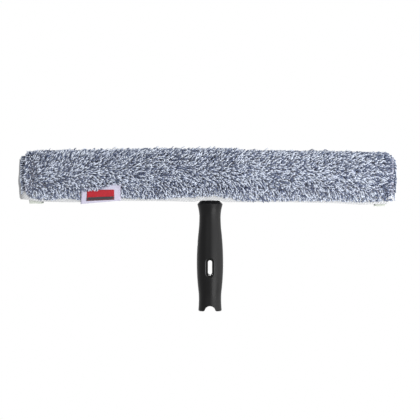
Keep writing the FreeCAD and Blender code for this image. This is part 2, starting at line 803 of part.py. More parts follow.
def closing_flap(name, side, outer):
    body = new_body(f"{name}_closing_flap")
    front, back = dim.flap_front, fin_back
    top, under = dim.flap_top, dim.flap_top - dim.cloth
    fold = dim.cloth / 2
    middle = (front + back) / 2
    moves = [
        arc(-back, dim.hem_bottom + fold, (-middle, dim.hem_bottom + fold), 1),
        line(-back, under),
        line(hinge_y, under),
        arc(hinge_y, top, (hinge_y, hinge_z), 1),
        line(-front, top),
    ]
    section = ((-front, dim.hem_bottom + fold), moves)
    pad_along_bar(body, section, *along(side, dim.flap_inner, outer))
    return body


def tape(label, side, outer, front, back):
    body = new_body(label)
    section = strip(front, back, dim.tape_bottom, dim.tape_top)
    pad_along_bar(body, section, *along(side, dim.flap_inner, outer))
    return body


def pull_tab(name, side, inner, outer):
    body = new_body(f"{name}_pull_tab")
    section = strip(-fin_back, dim.tab_thick - fin_back, dim.tab_bottom, dim.tab_top)
    pad_along_bar(body, section, *along(side, inner, outer))
    return body


def closures():
    hook_back = -dim.flap_front
    hook_front = hook_back - dim.tape_thick
    loop_back = hook_front - dim.tape_gap
    pieces = []
    for name, side in SIDES.items():
        outer = getattr(dim, f"flap_outer_{name}")
        tab_inner = getattr(dim, f"{name}_tab_inner")
        tab_outer = getattr(dim, f"{name}_tab_outer")
        pieces += [
            closing_flap(name, side, outer),
            tape(f"{name}_hook_tape", side, outer, hook_front, hook_back),
            tape(f"{name}_loop_tape", side, outer, -cloth_inner, loop_back),
            pull_tab(name, side, tab_inner, tab_outer),
        ]
    return pieces


def check_and_export(pieces):
    doc.recompute()
    failed = [part.Name for part in doc.Objects if {"Invalid", "Error"} & set(part.State)]
    if failed:
        raise RuntimeError(f"failed objects: {failed}")
    for piece in pieces:
        if piece.Shape.isNull() or not piece.Shape.isValid():
            raise RuntimeError(f"{piece.Label} has no valid shape")
    os.makedirs("parts", exist_ok=True)
    for piece in pieces:
        piece.Shape.exportStep(f"parts/{piece.Label}.step")
        box = piece.Shape.BoundBox
        spans = [f"{low:.1f}..{high:.1f}" for low, high in
                 ((box.XMin, box.XMax), (box.YMin, box.YMax), (box.ZMin, box.ZMax))]
        print(f"{piece.Label}: {len(piece.Shape.Solids)} solid, {piece.Shape.Volume:.0f} mm3, "
              + " ".join(spans))


check_and_export([
    handle(),
    handle_screw(),
    screw_washer(),
    t_head(),
    crossbar(),
    *(end_plug(name, side) for name, side in SIDES.items()),
    crossbar_rivets(),
    sleeve_backing(),
    *(end_panel(name, side) for name, side in SIDES.items()),
    front_hem(),
    *pile_pieces(),
    sewn_label(),
    *closures(),
])
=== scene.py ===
# %% [markdown]
# # A window scrubber, dressed in Blender
# The scrubber is a T-bar: a black handle, a tube across its top and a washer sleeve round the tube.
# Its rigid pieces come from the frame at their real size, so this lesson gives them a finish.
# The sleeve is soft: its tufts, tapes, flaps and label are modelled here, around the same frame.

# %% Load the frame
import json
import math

import bpy
import numpy as np
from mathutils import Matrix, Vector, noise


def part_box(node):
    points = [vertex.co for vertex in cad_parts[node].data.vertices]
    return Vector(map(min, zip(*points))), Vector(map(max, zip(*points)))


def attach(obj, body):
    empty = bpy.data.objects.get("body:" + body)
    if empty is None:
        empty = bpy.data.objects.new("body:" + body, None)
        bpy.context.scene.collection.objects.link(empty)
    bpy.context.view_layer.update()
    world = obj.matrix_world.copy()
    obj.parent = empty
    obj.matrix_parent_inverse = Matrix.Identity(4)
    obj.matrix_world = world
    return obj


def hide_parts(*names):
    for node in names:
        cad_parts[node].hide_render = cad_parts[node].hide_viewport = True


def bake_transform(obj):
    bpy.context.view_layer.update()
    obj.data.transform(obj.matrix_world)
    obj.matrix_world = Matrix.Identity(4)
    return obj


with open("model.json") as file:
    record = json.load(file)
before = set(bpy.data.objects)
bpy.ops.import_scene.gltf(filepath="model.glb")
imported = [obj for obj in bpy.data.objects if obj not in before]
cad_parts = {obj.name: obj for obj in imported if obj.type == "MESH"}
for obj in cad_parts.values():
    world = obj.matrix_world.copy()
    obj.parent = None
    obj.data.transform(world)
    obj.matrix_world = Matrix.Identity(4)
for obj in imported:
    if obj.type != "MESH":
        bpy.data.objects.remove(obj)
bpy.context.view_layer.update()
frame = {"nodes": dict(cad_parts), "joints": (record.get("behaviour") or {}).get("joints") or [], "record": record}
nodes = frame["nodes"]
MM = 0.001
print("nodes in the frame:", len(nodes))

# %% [markdown]
# ## Camera, light and floor
# The photograph looks straight at the front, level with the middle of the object, from far away.
# A long lens shows that: lines stay parallel and the sleeve's ends don't turn away.
# A world that is white only to the eye and to reflections gives the white background,
# while a softer level and five lamps light the object, so that colours come out as written.

# %% Camera
VIEW_WIDTH = 509.0 * MM
VIEW_CENTRE = Vector((0, 0, 122.4 * MM))
CAMERA_DISTANCE = 2.2
SENSOR = 36.0

camera_data = bpy.data.cameras.new("front_view")
camera_data.sensor_width = SENSOR
camera_data.lens = SENSOR * CAMERA_DISTANCE / VIEW_WIDTH
camera = bpy.data.objects.new("front_view", camera_data)
camera.location = VIEW_CENTRE + Vector((0, -CAMERA_DISTANCE, 0))
camera.rotation_euler = (math.radians(90), 0, 0)
bpy.context.scene.collection.objects.link(camera)
bpy.context.scene.camera = camera
bpy.context.scene.view_settings.view_transform = "Standard"
print(f"lens {camera_data.lens:.0f} mm at {CAMERA_DISTANCE} m")


# %% [markdown]
# Materials and the world are trees of nodes. They could be drawn by hand in the shader editor, but as
# code they can be read, compared and run again. Sockets go by name, or by number where a node repeats
# a name: Map Range takes a value at 0, its range at 1 and 2 and the new range at 3 and 4,
# and a colour Mix takes its share at 0 and its two colours at 6 and 7.

# %% Three helpers for every material
def linear(hex_colour):
    """An sRGB hex value as the linear colour that a shader takes."""
    channels = [int(hex_colour[i:i + 2], 16) / 255 for i in (1, 3, 5)]
    return tuple(((c + 0.055) / 1.055) ** 2.4 if c > 0.04045 else c / 12.92 for c in channels) + (1.0,)


def set_inputs(tree, node, inputs):
    """Sets sockets, by name or number, to a value or to another node's output."""
    for socket, value in inputs.items():
        if isinstance(value, bpy.types.NodeSocket):
            tree.links.new(value, node.inputs[socket])
        else:
            node.inputs[socket].default_value = value


def add_node(tree, kind, inputs=None, **settings):
    """Adds one node with its settings and its inputs."""
    node = tree.nodes.new(kind)
    for setting, value in settings.items():
        setattr(node, setting, value)
    set_inputs(tree, node, inputs or {})
    return node


print("half grey in linear light:", round(linear("#808080")[0], 3))

# %% World
WORLD_LEVEL = 0.6

world = bpy.data.worlds.new("white_studio")
bpy.context.scene.world = world
world.use_nodes = True
tree = world.node_tree
tree.nodes.clear()
path = add_node(tree, "ShaderNodeLightPath")
seen = path.outputs["Is Camera Ray"]
for ray in ("Is Glossy Ray", "Is Transmission Ray"):
    either = add_node(tree, "ShaderNodeMath", {0: seen, 1: path.outputs[ray]}, operation="MAXIMUM")
    seen = either.outputs[0]
level = add_node(tree, "ShaderNodeMapRange", {0: seen, 3: WORLD_LEVEL, 4: 1.0})
white = add_node(tree, "ShaderNodeBackground", {"Color": linear("#ffffff"), "Strength": level.outputs[0]})
add_node(tree, "ShaderNodeOutputWorld", {"Surface": white.outputs[0]})
print("world level on the object:", WORLD_LEVEL)

# %% Lamps
LAMPS = {
    "key_softbox": {"place": (1.8, -1.52, 0.44), "size": (3.3, 1.95), "watts": 64.0},
    "front_softbox": {"place": (-0.7, -1.6, 0.5), "size": (1.0, 1.0), "watts": 4.0},
    "low_softbox": {"place": (0.9, -1.05, -0.34), "size": (0.9, 0.3), "watts": 11.0},
    "rear_softbox": {"place": (0.0, 1.7, 0.4), "size": (0.4, 1.0), "watts": 14.0},
    "side_softbox": {"place": (2.0, 0.35, 0.44), "size": (1.0, 1.95), "watts": 11.0},
}
AIM = Vector((0, 0, 130.0 * MM))
for name, lamp in LAMPS.items():
    light = bpy.data.lights.new(name, "AREA")
    light.shape = "RECTANGLE"
    light.size, light.size_y = lamp["size"]
    light.energy = lamp["watts"]
    lamp_object = bpy.data.objects.new(name, light)
    lamp_object.location = lamp["place"]
    lamp_object.rotation_euler = (AIM - Vector(lamp["place"])).to_track_quat("-Z", "Y").to_euler()
    bpy.context.scene.collection.objects.link(lamp_object)
print("lamps:", ", ".join(LAMPS))

# %% [markdown]
# The floor is a round sheet of paper far below. It fades out towards its rim and is clear from
# underneath, so it catches the shadow and never shows an edge.

# %% Floor
FLOOR_LEVEL = -250.0 * MM
FLOOR_RADIUS = 0.6
FLOOR_CORNERS = 96
FADE_FROM = 0.5 * FLOOR_RADIUS

rim = [(FLOOR_RADIUS * math.cos(a), FLOOR_RADIUS * math.sin(a), FLOOR_LEVEL)
       for a in np.linspace(0, 2 * math.pi, FLOOR_CORNERS, endpoint=False)]
floor_mesh = bpy.data.meshes.new("floor")
floor_mesh.from_pydata(rim, [], [list(range(len(rim)))])
floor = bpy.data.objects.new("floor", floor_mesh)
bpy.context.scene.collection.objects.link(floor)

paper = bpy.data.materials.new("matt white paper")
paper.use_nodes = True
tree = paper.node_tree
tree.nodes.clear()
place = add_node(tree, "ShaderNodeTexCoord")
geometry = add_node(tree, "ShaderNodeNewGeometry")
flat = add_node(tree, "ShaderNodeVectorMath", {0: place.outputs["Object"], 1: (1, 1, 0)},
                operation="MULTIPLY")
away = add_node(tree, "ShaderNodeVectorMath", {0: flat.outputs[0]}, operation="LENGTH")
fade = add_node(tree, "ShaderNodeMapRange", {0: away.outputs["Value"], 1: FADE_FROM, 2: FLOOR_RADIUS},
                interpolation_type="SMOOTHSTEP")
open_below = add_node(tree, "ShaderNodeMath", {0: fade.outputs[0], 1: geometry.outputs["Backfacing"]},
                      operation="MAXIMUM")
matt = add_node(tree, "ShaderNodeBsdfDiffuse", {"Color": linear("#f4f4f4")})
clear = add_node(tree, "ShaderNodeBsdfTransparent")
mixed = add_node(tree, "ShaderNodeMixShader",
                 {0: open_below.outputs[0], 1: matt.outputs[0], 2: clear.outputs[0]})
add_node(tree, "ShaderNodeOutputMaterial", {"Surface": mixed.outputs[0]})
floor_mesh.materials.append(paper)
print("floor radius:", FLOOR_RADIUS)


# %% [markdown]
# ## Finishes of the rigid pieces
# The handle is injection-moulded polypropylene: black all through, satin, with the fine grain that
# the mould's spark-eroded wall leaves, and a faint line where the two halves of the mould met.
# The lip round its lock slot is painted grey as highlight; the rim inside it is painted black as shade.
# Grain and mottling could come from an image, but a noise whose size is set in millimetres fits
# any view. Grain of 0.1 mm wouldn't show in the render, so it is drawn at 0.6 mm.

# %% Starting a material
def new_material(name):
    """A material with one Principled shader; returns the material, its tree and the shader."""
    material = bpy.data.materials.new(name)
    material.use_nodes = True
    return material, material.node_tree, material.node_tree.nodes["Principled BSDF"]


def finish(tree, shader, share, dark, light, relief, inputs):
    """Colours a shader by a share between two hex values; relief is a height, the depth in metres that
    one unit of it stands for, and a strength. Returns the colour's output."""
    tint = add_node(tree, "ShaderNodeMix", {0: share, 6: linear(dark), 7: linear(light)}, data_type="RGBA")
    height, depth, strength = relief
    raised = add_node(tree, "ShaderNodeBump", {"Height": height, "Distance": depth, "Strength": strength})
    set_inputs(tree, shader, {"Base Color": tint.outputs[2], "Normal": raised.outputs[0], **inputs})
    return tint.outputs[2]


def dress(node_names, material):
    """Gives the frame's own pieces a finish."""
    for node_name in node_names:
        slots = nodes[node_name].data.materials
        slots.clear()
        slots.append(material)


# %% Moulded polypropylene: painted shade in the rim and painted highlight on the lip of the lock slot
SLOT_STRAIGHT = 6.45 * MM
RIM_EDGE = 5.1 * MM
RIM_FADE = (4.6 * MM, 5.0 * MM)
LIP_MIDDLE = 5.3 * MM
LIP_FADE = (0.2 * MM, 0.6 * MM)
lock_slot = next(mount for mount in frame["record"]["mounts"] if mount["name"] == "lock_slot")
slot_middle = lock_slot["pos_m"][2]

polypropylene, tree, shader = new_material("moulded polypropylene")
place = add_node(tree, "ShaderNodeTexCoord")
axes = add_node(tree, "ShaderNodeSeparateXYZ", {0: place.outputs["Object"]})
above = add_node(tree, "ShaderNodeMath", {0: axes.outputs["Z"], 1: slot_middle}, operation="SUBTRACT")
above = add_node(tree, "ShaderNodeMath", {0: above.outputs[0]}, operation="ABSOLUTE")
past = add_node(tree, "ShaderNodeMath", {0: above.outputs[0], 1: SLOT_STRAIGHT}, operation="SUBTRACT")
past = add_node(tree, "ShaderNodeMath", {0: past.outputs[0], 1: 0.0}, operation="MAXIMUM")
from_slot = add_node(tree, "ShaderNodeCombineXYZ", {0: axes.outputs["X"], 1: past.outputs[0]})
from_slot = add_node(tree, "ShaderNodeVectorMath", {0: from_slot.outputs[0]}, operation="LENGTH")
# Painted shade: the recessed rim round the slot is darkened to black.
rim_painted_shade = add_node(tree, "ShaderNodeMapRange",
                {0: from_slot.outputs["Value"], 1: RIM_FADE[0], 2: RIM_FADE[1], 3: 1.0, 4: 0.0})
off_lip = add_node(tree, "ShaderNodeMath", {0: from_slot.outputs["Value"], 1: LIP_MIDDLE},
                   operation="SUBTRACT")
off_lip = add_node(tree, "ShaderNodeMath", {0: off_lip.outputs[0]}, operation="ABSOLUTE")
# Painted highlight: a thin grey line along the lip, where a rounded edge would catch the light.
lip = add_node(tree, "ShaderNodeMapRange",
               {0: off_lip.outputs[0], 1: LIP_FADE[0], 2: LIP_FADE[1], 3: 1.0, 4: 0.0})
on_side = add_node(tree, "ShaderNodeMapRange",
                   {0: above.outputs[0], 1: SLOT_STRAIGHT, 2: SLOT_STRAIGHT + RIM_EDGE, 3: 1.0, 4: 0.0})
lip_painted_highlight = add_node(tree, "ShaderNodeMath", {0: lip.outputs[0], 1: on_side.outputs[0]}, operation="MULTIPLY")
print("middle of the lock slot:", slot_middle, "m up")

# %% Moulded polypropylene: colour, grain and parting line
GRAIN = 0.6 * MM
GRAIN_DEPTH = 0.04 * MM
MOTTLE = 9.0 * MM
PARTING_HALF = 0.25 * MM

mottle = add_node(tree, "ShaderNodeTexNoise",
                  {"Vector": place.outputs["Object"], "Scale": 1 / MOTTLE, "Detail": 3.0})
gloss = add_node(tree, "ShaderNodeMapRange", {0: mottle.outputs[0], 3: 0.36, 4: 0.42})
grain = add_node(tree, "ShaderNodeTexNoise",
                 {"Vector": place.outputs["Object"], "Scale": 1 / GRAIN, "Detail": 2.0})
depth = add_node(tree, "ShaderNodeMath", {0: axes.outputs["Y"]}, operation="ABSOLUTE")
seam = add_node(tree, "ShaderNodeMapRange", {0: depth.outputs[0], 1: 0.0, 2: PARTING_HALF, 3: 1.0, 4: 0.0})
height = add_node(tree, "ShaderNodeMath", {0: seam.outputs[0], 1: grain.outputs[0]}, operation="ADD")
tint = finish(tree, shader, mottle.outputs[0], "#070708", "#0c0c0d", (height.outputs[0], GRAIN_DEPTH, 0.6),
              {"Roughness": gloss.outputs[0], "IOR": 1.49, "Specular IOR Level": 0.15})
# Mixes the painted highlight on the lip and the painted shade in the rim into the colour.
for share, colour in ((lip_painted_highlight, "#48484a"), (rim_painted_shade, "#040404")):
    mixed = add_node(tree, "ShaderNodeMix", {0: share.outputs[0], 6: tint, 7: linear(colour)},
                     data_type="RGBA")
    tint = mixed.outputs[2]
set_inputs(tree, shader, {"Base Color": tint})
dress(["handle"], polypropylene)
print("made", polypropylene.name)

# %% [markdown]
# The T-head is moulded too, but of nylon with glass fibre, which is stiffer and shows short pale
# fibres in its skin. The end plugs are soft polyethylene, with a waxy shine and cloudy flow marks.
# The fibres could be modelled, but they only tint the skin, so a pattern of cells places them as
# specks. Real fibres are about 0.3 mm long, too fine to show, so the cells are 1.2 mm wide.

# %% Glass-filled nylon and polyethylene
FIBRE = 1.2 * MM
FIBRE_SPECK = 0.35
FIBRE_DEPTH = 0.05 * MM
FLOW = 14.0 * MM
FLOW_DEPTH = 0.2 * MM

nylon, tree, shader = new_material("glass-filled nylon")
place = add_node(tree, "ShaderNodeTexCoord")
fibre = add_node(tree, "ShaderNodeTexVoronoi", {"Vector": place.outputs["Object"], "Scale": 1 / FIBRE})
speck = add_node(tree, "ShaderNodeMapRange",
                 {0: fibre.outputs["Distance"], 1: 0.0, 2: FIBRE_SPECK, 3: 1.0, 4: 0.0})
finish(tree, shader, speck.outputs[0], "#1f1f20", "#343436", (fibre.outputs["Distance"], FIBRE_DEPTH, 0.5),
       {"Roughness": 0.52, "IOR": 1.53})
dress(["t_head"], nylon)

polyethylene, tree, shader = new_material("moulded polyethylene")
place = add_node(tree, "ShaderNodeTexCoord")
flow = add_node(tree, "ShaderNodeTexNoise",
                {"Vector": place.outputs["Object"], "Scale": 1 / FLOW, "Detail": 4.0})
finish(tree, shader, flow.outputs[0], "#1b1b1d", "#29292b", (flow.outputs[0], FLOW_DEPTH, 0.4),
       {"Roughness": 0.4, "IOR": 1.51})
dress(["left_end_plug", "right_end_plug"], polyethylene)
print("made", nylon.name, "and", polyethylene.name)

# %% [markdown]
# The tube is extruded aluminium as it comes from the die: a grey metal with fine lines along its
# length. A noise that is squeezed across the bar and stretched along it draws such lines, and needs
# no image or map. Real ones are about 0.1 mm apart, too fine to show, so they are drawn at 0.5 mm.
# The screw and its washer are zinc-plated steel, whose plating is cloudy rather than lined.

# %% Extruded aluminium and zinc-plated steel
DIE_LINE = 0.5 * MM
DIE_LINE_LENGTH = 60.0 * MM
DIE_LINE_DEPTH = 0.03 * MM
PLATING_CLOUD = 2.0 * MM

aluminium, tree, shader = new_material("extruded aluminium")
place = add_node(tree, "ShaderNodeTexCoord")
lines = add_node(tree, "ShaderNodeVectorMath",
                 {0: place.outputs["Object"], 1: (1 / DIE_LINE_LENGTH, 1 / DIE_LINE, 1 / DIE_LINE)},
                 operation="MULTIPLY")
drawn = add_node(tree, "ShaderNodeTexNoise", {"Vector": lines.outputs[0], "Scale": 1.0, "Detail": 3.0})
gloss = add_node(tree, "ShaderNodeMapRange", {0: drawn.outputs[0], 3: 0.28, 4: 0.46})
finish(tree, shader, drawn.outputs[0], "#b9bcc0", "#d7d9db", (drawn.outputs[0], DIE_LINE_DEPTH, 0.5),
       {"Roughness": gloss.outputs[0], "Metallic": 1.0})
dress(["crossbar", "crossbar_rivets"], aluminium)

steel, tree, shader = new_material("zinc-plated steel")
place = add_node(tree, "ShaderNodeTexCoord")
cloud = add_node(tree, "ShaderNodeTexNoise",
                 {"Vector": place.outputs["Object"], "Scale": 1 / PLATING_CLOUD, "Detail": 4.0})
tint = add_node(tree, "ShaderNodeMix", {0: cloud.outputs[0], 6: linear("#a9b0b6"), 7: linear("#ccd1d4")},
                data_type="RGBA")
gloss = add_node(tree, "ShaderNodeMapRange", {0: cloud.outputs[0], 3: 0.22, 4: 0.4})
set_inputs(tree, shader, {"Base Color": tint.outputs[2], "Roughness": gloss.outputs[0], "Metallic": 1.0})
dress(["handle_screw", "screw_washer"], steel)
print("made", aluminium.name, "and", steel.name)

# %% [markdown]
# ## Finishes of the cloth
# Most of the cloth is polyester; the pull tabs are raw cotton and the fastening tapes nylon.
# The base cloth is a plain weave: threads go over and under in turn, which two crossed waves draw.
# Tape is a twill, whose threads step sideways row by row, so one slanting wave draws it.
# Both follow a map in metres that lies on the cloth itself, so the threads bend with it.
# The label's satin and the brushed tape are drawn as plain weaves with more sheen.
# Real threads are about 0.4 mm apart; here they are drawn at 1.6 mm, so that they show.
# Blender's wave texture repeats every 2 pi / 20 of its map at scale 1, which sets the scale.

# %% Woven cloth
THREAD = 1.6 * MM
THREAD_DEPTH = 0.25 * MM
CREASE = 16.0 * MM
WAVE_PERIOD = 2 * math.pi / 20
SOFT = {"IOR": 1.45, "Specular IOR Level": 0.2, "Sheen Roughness": 0.5}


def woven(name, dark, light, twill, sheen=0.25):
    """A woven cloth between two hex colours, plain weave or twill."""
    material, tree, shader = new_material(name)
    cloth_map = add_node(tree, "ShaderNodeUVMap", uv_map="cloth")
    ways = ["DIAGONAL"] if twill else ["X", "Y"]
    bands = [add_node(tree, "ShaderNodeTexWave",
                      {"Vector": cloth_map.outputs[0], "Scale": WAVE_PERIOD / THREAD, "Distortion": 0.4},
                      bands_direction=way)
             for way in ways]
    thread = bands[0].outputs["Fac"]
    if not twill:
        crossed = add_node(tree, "ShaderNodeMath", {0: thread, 1: bands[1].outputs["Fac"]},
                           operation="MULTIPLY")
        thread = crossed.outputs[0]
    crease = add_node(tree, "ShaderNodeTexNoise",
                      {"Vector": cloth_map.outputs[0], "Scale": 1 / CREASE, "Detail": 5.0, "Roughness": 0.6})
    share = add_node(tree, "ShaderNodeMath", {0: thread, 1: crease.outputs[0]}, operation="MULTIPLY")
    finish(tree, shader, share.outputs[0], dark, light, (thread, THREAD_DEPTH, 0.6),
           {"Roughness": 0.85, "Sheen Weight": sheen, **SOFT})
    return material


base_weave = woven("plain-woven polyester", "#b4b4c4", "#d6d6e4", twill=False)
hem_twill = woven("polyester twill tape", "#acadaf", "#cfd0d0", twill=True)
tab_twill = woven("raw cotton twill tape", "#b5bab2", "#d8dcd4", twill=True)
label_weave = woven("plain-woven white label cloth", "#aeabbd", "#cbc8d9", twill=False)
red_satin = woven("satin-woven red label cloth", "#8f1420", "#cf2433", twill=False, sheen=0.5)
grey_satin = woven("satin-woven charcoal label cloth", "#2c2b2f", "#4a484d", twill=False, sheen=0.5)
tape_nylon = woven("brushed nylon tape", "#b9bbbd", "#d8dadb", twill=False, sheen=0.4)
print("made seven woven cloths")

# %% [markdown]
# The pile is tufted microfibre yarn in two colours, an off-white with a lavender cast and a navy
# grey. Every yarn differs a little in dye, and its root is painted darker, as shade where the tuft is packed.
# Each strand carries two numbers for that, its own tone and the distance along it, so that one
# material can dress thousands of strands. Its fuzz is finer than 0.1 mm, and is drawn at 0.7 mm to show.

# %% Yarn, thread and moulded hooks
FUZZ = 0.7 * MM
FUZZ_DEPTH = 0.3 * MM
ROOT_END = 0.8


def yarn(name, pale, deep, painted_root_shade, sheen=0.2):
    """Spun or moulded strands: their tone runs from pale to deep, and the roots get painted shade."""
    material, tree, shader = new_material(name)
    tone = add_node(tree, "ShaderNodeAttribute", attribute_name="tone")
    along = add_node(tree, "ShaderNodeAttribute", attribute_name="along")
    place = add_node(tree, "ShaderNodeTexCoord")
    fuzz = add_node(tree, "ShaderNodeTexNoise",
                    {"Vector": place.outputs["Object"], "Scale": 1 / FUZZ, "Detail": 2.0})
    tint = finish(tree, shader, tone.outputs["Fac"], pale, deep, (fuzz.outputs[0], FUZZ_DEPTH, 0.5),
                  {"Roughness": 0.9, "Sheen Weight": sheen, **SOFT})
    # Painted shade: the colour darkens towards the root, up to ROOT_END along the strand.
    shade = add_node(tree, "ShaderNodeMapRange",
                     {0: along.outputs["Fac"], 1: 0.0, 2: ROOT_END, 3: painted_root_shade, 4: 1.0})
    shaded = add_node(tree, "ShaderNodeVectorMath", {0: tint, 3: shade.outputs[0]}, operation="SCALE")
    set_inputs(tree, shader, {"Base Color": shaded.outputs[0]})
    return material


pale_yarn = yarn("off-white microfibre yarn", "#d5dde9", "#cad1e2", painted_root_shade=0.62)
navy_yarn = yarn("navy-grey microfibre yarn", "#79839b", "#4b5470", painted_root_shade=0.62)
white_thread = yarn("white polyester thread", "#d6d8da", "#c2c4c6", painted_root_shade=1.0)
dark_thread = yarn("charcoal polyester thread", "#4a4c50", "#36383c", painted_root_shade=1.0)
red_thread = yarn("red polyester thread", "#b01c2b", "#8e1420", painted_root_shade=1.0)
loop_fibre = yarn("brushed nylon loops", "#d9dbdd", "#bfc1c4", painted_root_shade=0.8)
hook_nylon = yarn("moulded nylon hooks", "#dcdedf", "#c6c9cb", painted_root_shade=0.9, sheen=0.0)
print("made seven yarns and threads")

# %% [markdown]
# ## How the sleeve hangs
# The sleeve is a loose tube of cloth on a straight bar. In the photograph its lower edge isn't
# straight: it rests on the handle's collar, hangs a little on both sides of it, and most of all
# towards the right end. A cloth simulation would find a sag, but not this sleeve's own, so it is
# given place by place. One function gives it for any point, so the soft pieces hang together.

# %% Places taken from the frame
backing_low, backing_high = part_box("sleeve_backing")
hem_low, hem_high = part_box("front_hem")
pile_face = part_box("pile_cover")[1].y
left_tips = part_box("left_end_pile")[0].x
right_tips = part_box("right_end_pile")[1].x

CLOTH = 1.2 * MM
CLOTH_INSET = 0.7 * MM
TAPE = 0.45 * MM
PILE_STRAIGHT = 25.0 * MM
cloth_face = backing_high.y
cloth_middle = cloth_face - CLOTH_INSET
shoulder = backing_high.z - cloth_face
haunch = shoulder - PILE_STRAIGHT
print("height of the shoulder, where the sleeve turns round:", round(shoulder, 4), "m")


# %% Sag and waves
def ease(t):
    """A smooth step from 0 to 1."""
    t = np.clip(t, 0, 1)
    return t * t * (3 - 2 * t)


def between(x, places, values):
    """Values at given places, joined by smooth steps."""
    before = np.clip(np.searchsorted(places, x) - 1, 0, len(places) - 2)
    share = ease((x - places[before]) / (places[before + 1] - places[before]))
    return values[before] + share * (values[before + 1] - values[before])


SAG_PLACES = np.array([-229, -200, -165, -107, -58, -19, -12, 12, 19, 97, 145, 184, 213, 223]) * MM
SAG_LOW = np.array([-1.2, 1.8, 2.5, 0.7, 1.1, 1.8, 0.4, 0.5, 2.2, 2.4, 3.5, 5.3, 4.6, 2.0]) * MM
SAG_TOP = np.array([0.9, 0.7, 0.3, 0, 0, 0, 0, 0, 0, 0.4, 0.8, 1.2, 1.5, 3.0]) * MM
SEED_STEP = (7.3, 3.1, 1.7)


def sag(points):
    """Lowers points of the sleeve, the lower edge more than the top."""
    points = np.array(points, float)
    low = np.clip((backing_high.z - points[..., 2]) / (backing_high.z - hem_low.z), 0, 1)
    top_drop = between(points[..., 0], SAG_PLACES, SAG_TOP)
    points[..., 2] -= top_drop + low * (between(points[..., 0], SAG_PLACES, SAG_LOW) - top_drop)
    return points


def waves(points, size, seed):
    """A smooth wave from -1 to 1 at each point, about as long as size."""
    flat = np.asarray(points, float).reshape(-1, 3)
    offset = Vector([seed * step for step in SEED_STEP])
    values = [noise.noise(Vector(p) / size + offset) for p in flat]
    return np.array(values).reshape(np.shape(points)[:-1])


def ripple(points, wave, seed, along=(1, 1, 1)):
    """Waves of a given length and height; along picks the axes that they run in."""
    return wave["high"] * waves(points * np.array(along), wave["long"], seed)


print("greatest sag in mm:", SAG_LOW.max() / MM)


# %% [markdown]
# ## Strips of cloth
# Hem, binding, flaps, tabs and label are all strips: one line in section, run from end to end.
# They could be extruded curves, but a grid of points lets every strip ripple and carry its map.
# A Solidify modifier then gives the cloth its thickness, and keeps it where a flap bends.

# %% Lines in section
SAME_POINT = 0.01 * MM


def straight(start, end, step=1.5 * MM):
    """Points from start to end, a step apart."""
    start, end = np.array(start), np.array(end)
    count = max(2, int(np.ceil(np.linalg.norm(end - start) / step)) + 1)
    return np.linspace(start, end, count)


def bend(centre, radius, from_deg, to_deg, count=9):
    """Points along an arc."""
    angles = np.radians(np.linspace(from_deg, to_deg, count))
    return np.stack([centre[0] + radius * np.cos(angles), centre[1] + radius * np.sin(angles)], axis=1)


def joined(*parts):
    """Several lines as one, without doubled points."""
    line = np.concatenate(parts)
    keep = np.append(True, np.linalg.norm(np.diff(line, axis=0), axis=1) > SAME_POINT)
    return line[keep]


def folded(middle, half, foot, top):
    """A strip in section, folded upwards: down the front, round a bend and up the rear."""
    return joined(straight((middle - half, top), (middle - half, foot)), bend((middle, foot), half, 180, 360),
                  straight((middle + half, foot), (middle + half, top)))


def run_length(line):
    """Distance along a line at each of its points."""
    return np.append(0, np.cumsum(np.linalg.norm(np.diff(line, axis=0), axis=1)))


print("a half turn of 10 mm is", round(run_length(bend((0, 0), 10 * MM, 0, 180))[-1] / MM, 1), "mm long")

# %% A strip of cloth
def add_piece(name, mesh, material, body, replaced=()):
    """Links a finished mesh as a piece of the scrubber that moves with a body."""
    mesh.materials.append(material)
    piece = bpy.data.objects.new(name, mesh)
    bpy.context.scene.collection.objects.link(piece)
    if body:
        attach(piece, body)
    if replaced:
        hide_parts(*replaced)
    return piece


def thicken(piece, thick, even):
    """Gives a sheet its thickness, half to each side."""
    solid = piece.modifiers.new("thickness", "SOLIDIFY")
    solid.thickness = thick
    solid.offset = 0
    solid.use_even_offset = even


def grid_mesh(name, points, u, v):
    """A sheet through a grid of points, with a map in metres."""
    rows, columns = points.shape[:2]
    mesh = bpy.data.meshes.new(name)
    index = np.arange(rows * columns).reshape(rows, columns)
    faces = np.stack([index[:-1, :-1], index[:-1, 1:], index[1:, 1:], index[1:, :-1]], axis=-1).reshape(-1, 4)
    mesh.from_pydata(points.reshape(-1, 3).tolist(), [], faces.tolist())
    grid_uv = np.stack(np.broadcast_arrays(u[:, None], v[None, :]), axis=-1).reshape(-1, 2)
    cloth_map = mesh.uv_layers.new(name="cloth")
    cloth_map.data.foreach_set("uv", grid_uv[faces.reshape(-1)].astype(np.float32).ravel())
    mesh.shade_smooth()
    return mesh


def along_bar(run, line):
    """Lays a section's (y, z) line along X."""
    return np.stack(np.broadcast_arrays(run, line[..., 0], line[..., 1]), axis=-1)


def cloth_strip(name, line, start, end, thick, material, body, replaced=(), place=along_bar,
                shape=None, step=3.0 * MM):
    """A strip with this section from start to end; place turns run and section into points."""
    count = max(2, int(np.ceil((end - start) / step)) + 1)
    run = np.linspace(start, end, count)
    points = place(run[:, None], line[None, :, :])
    if shape:
        points = shape(points.copy())
    mesh = grid_mesh(name, points, run, run_length(line))
    piece = add_piece(name, mesh, material, body, replaced)
    thicken(piece, thick, even=True)
    print(f"{name}: {end - start:.3f} x {run_length(line)[-1]:.4f} m of cloth")
    return piece


# %% [markdown]
# ## Strands
# Tufts, stitches, loops and hooks are all thin strands. Hair particles would be quick, but they
# leave no mesh behind, so each strand is a small tube of its own: rings of points along a bent line.
# NumPy builds them all at once. Every strand has its own cell of the map, and its tone.

# %% Points and map of many tubes at once
CELL_MARGIN = 0.1


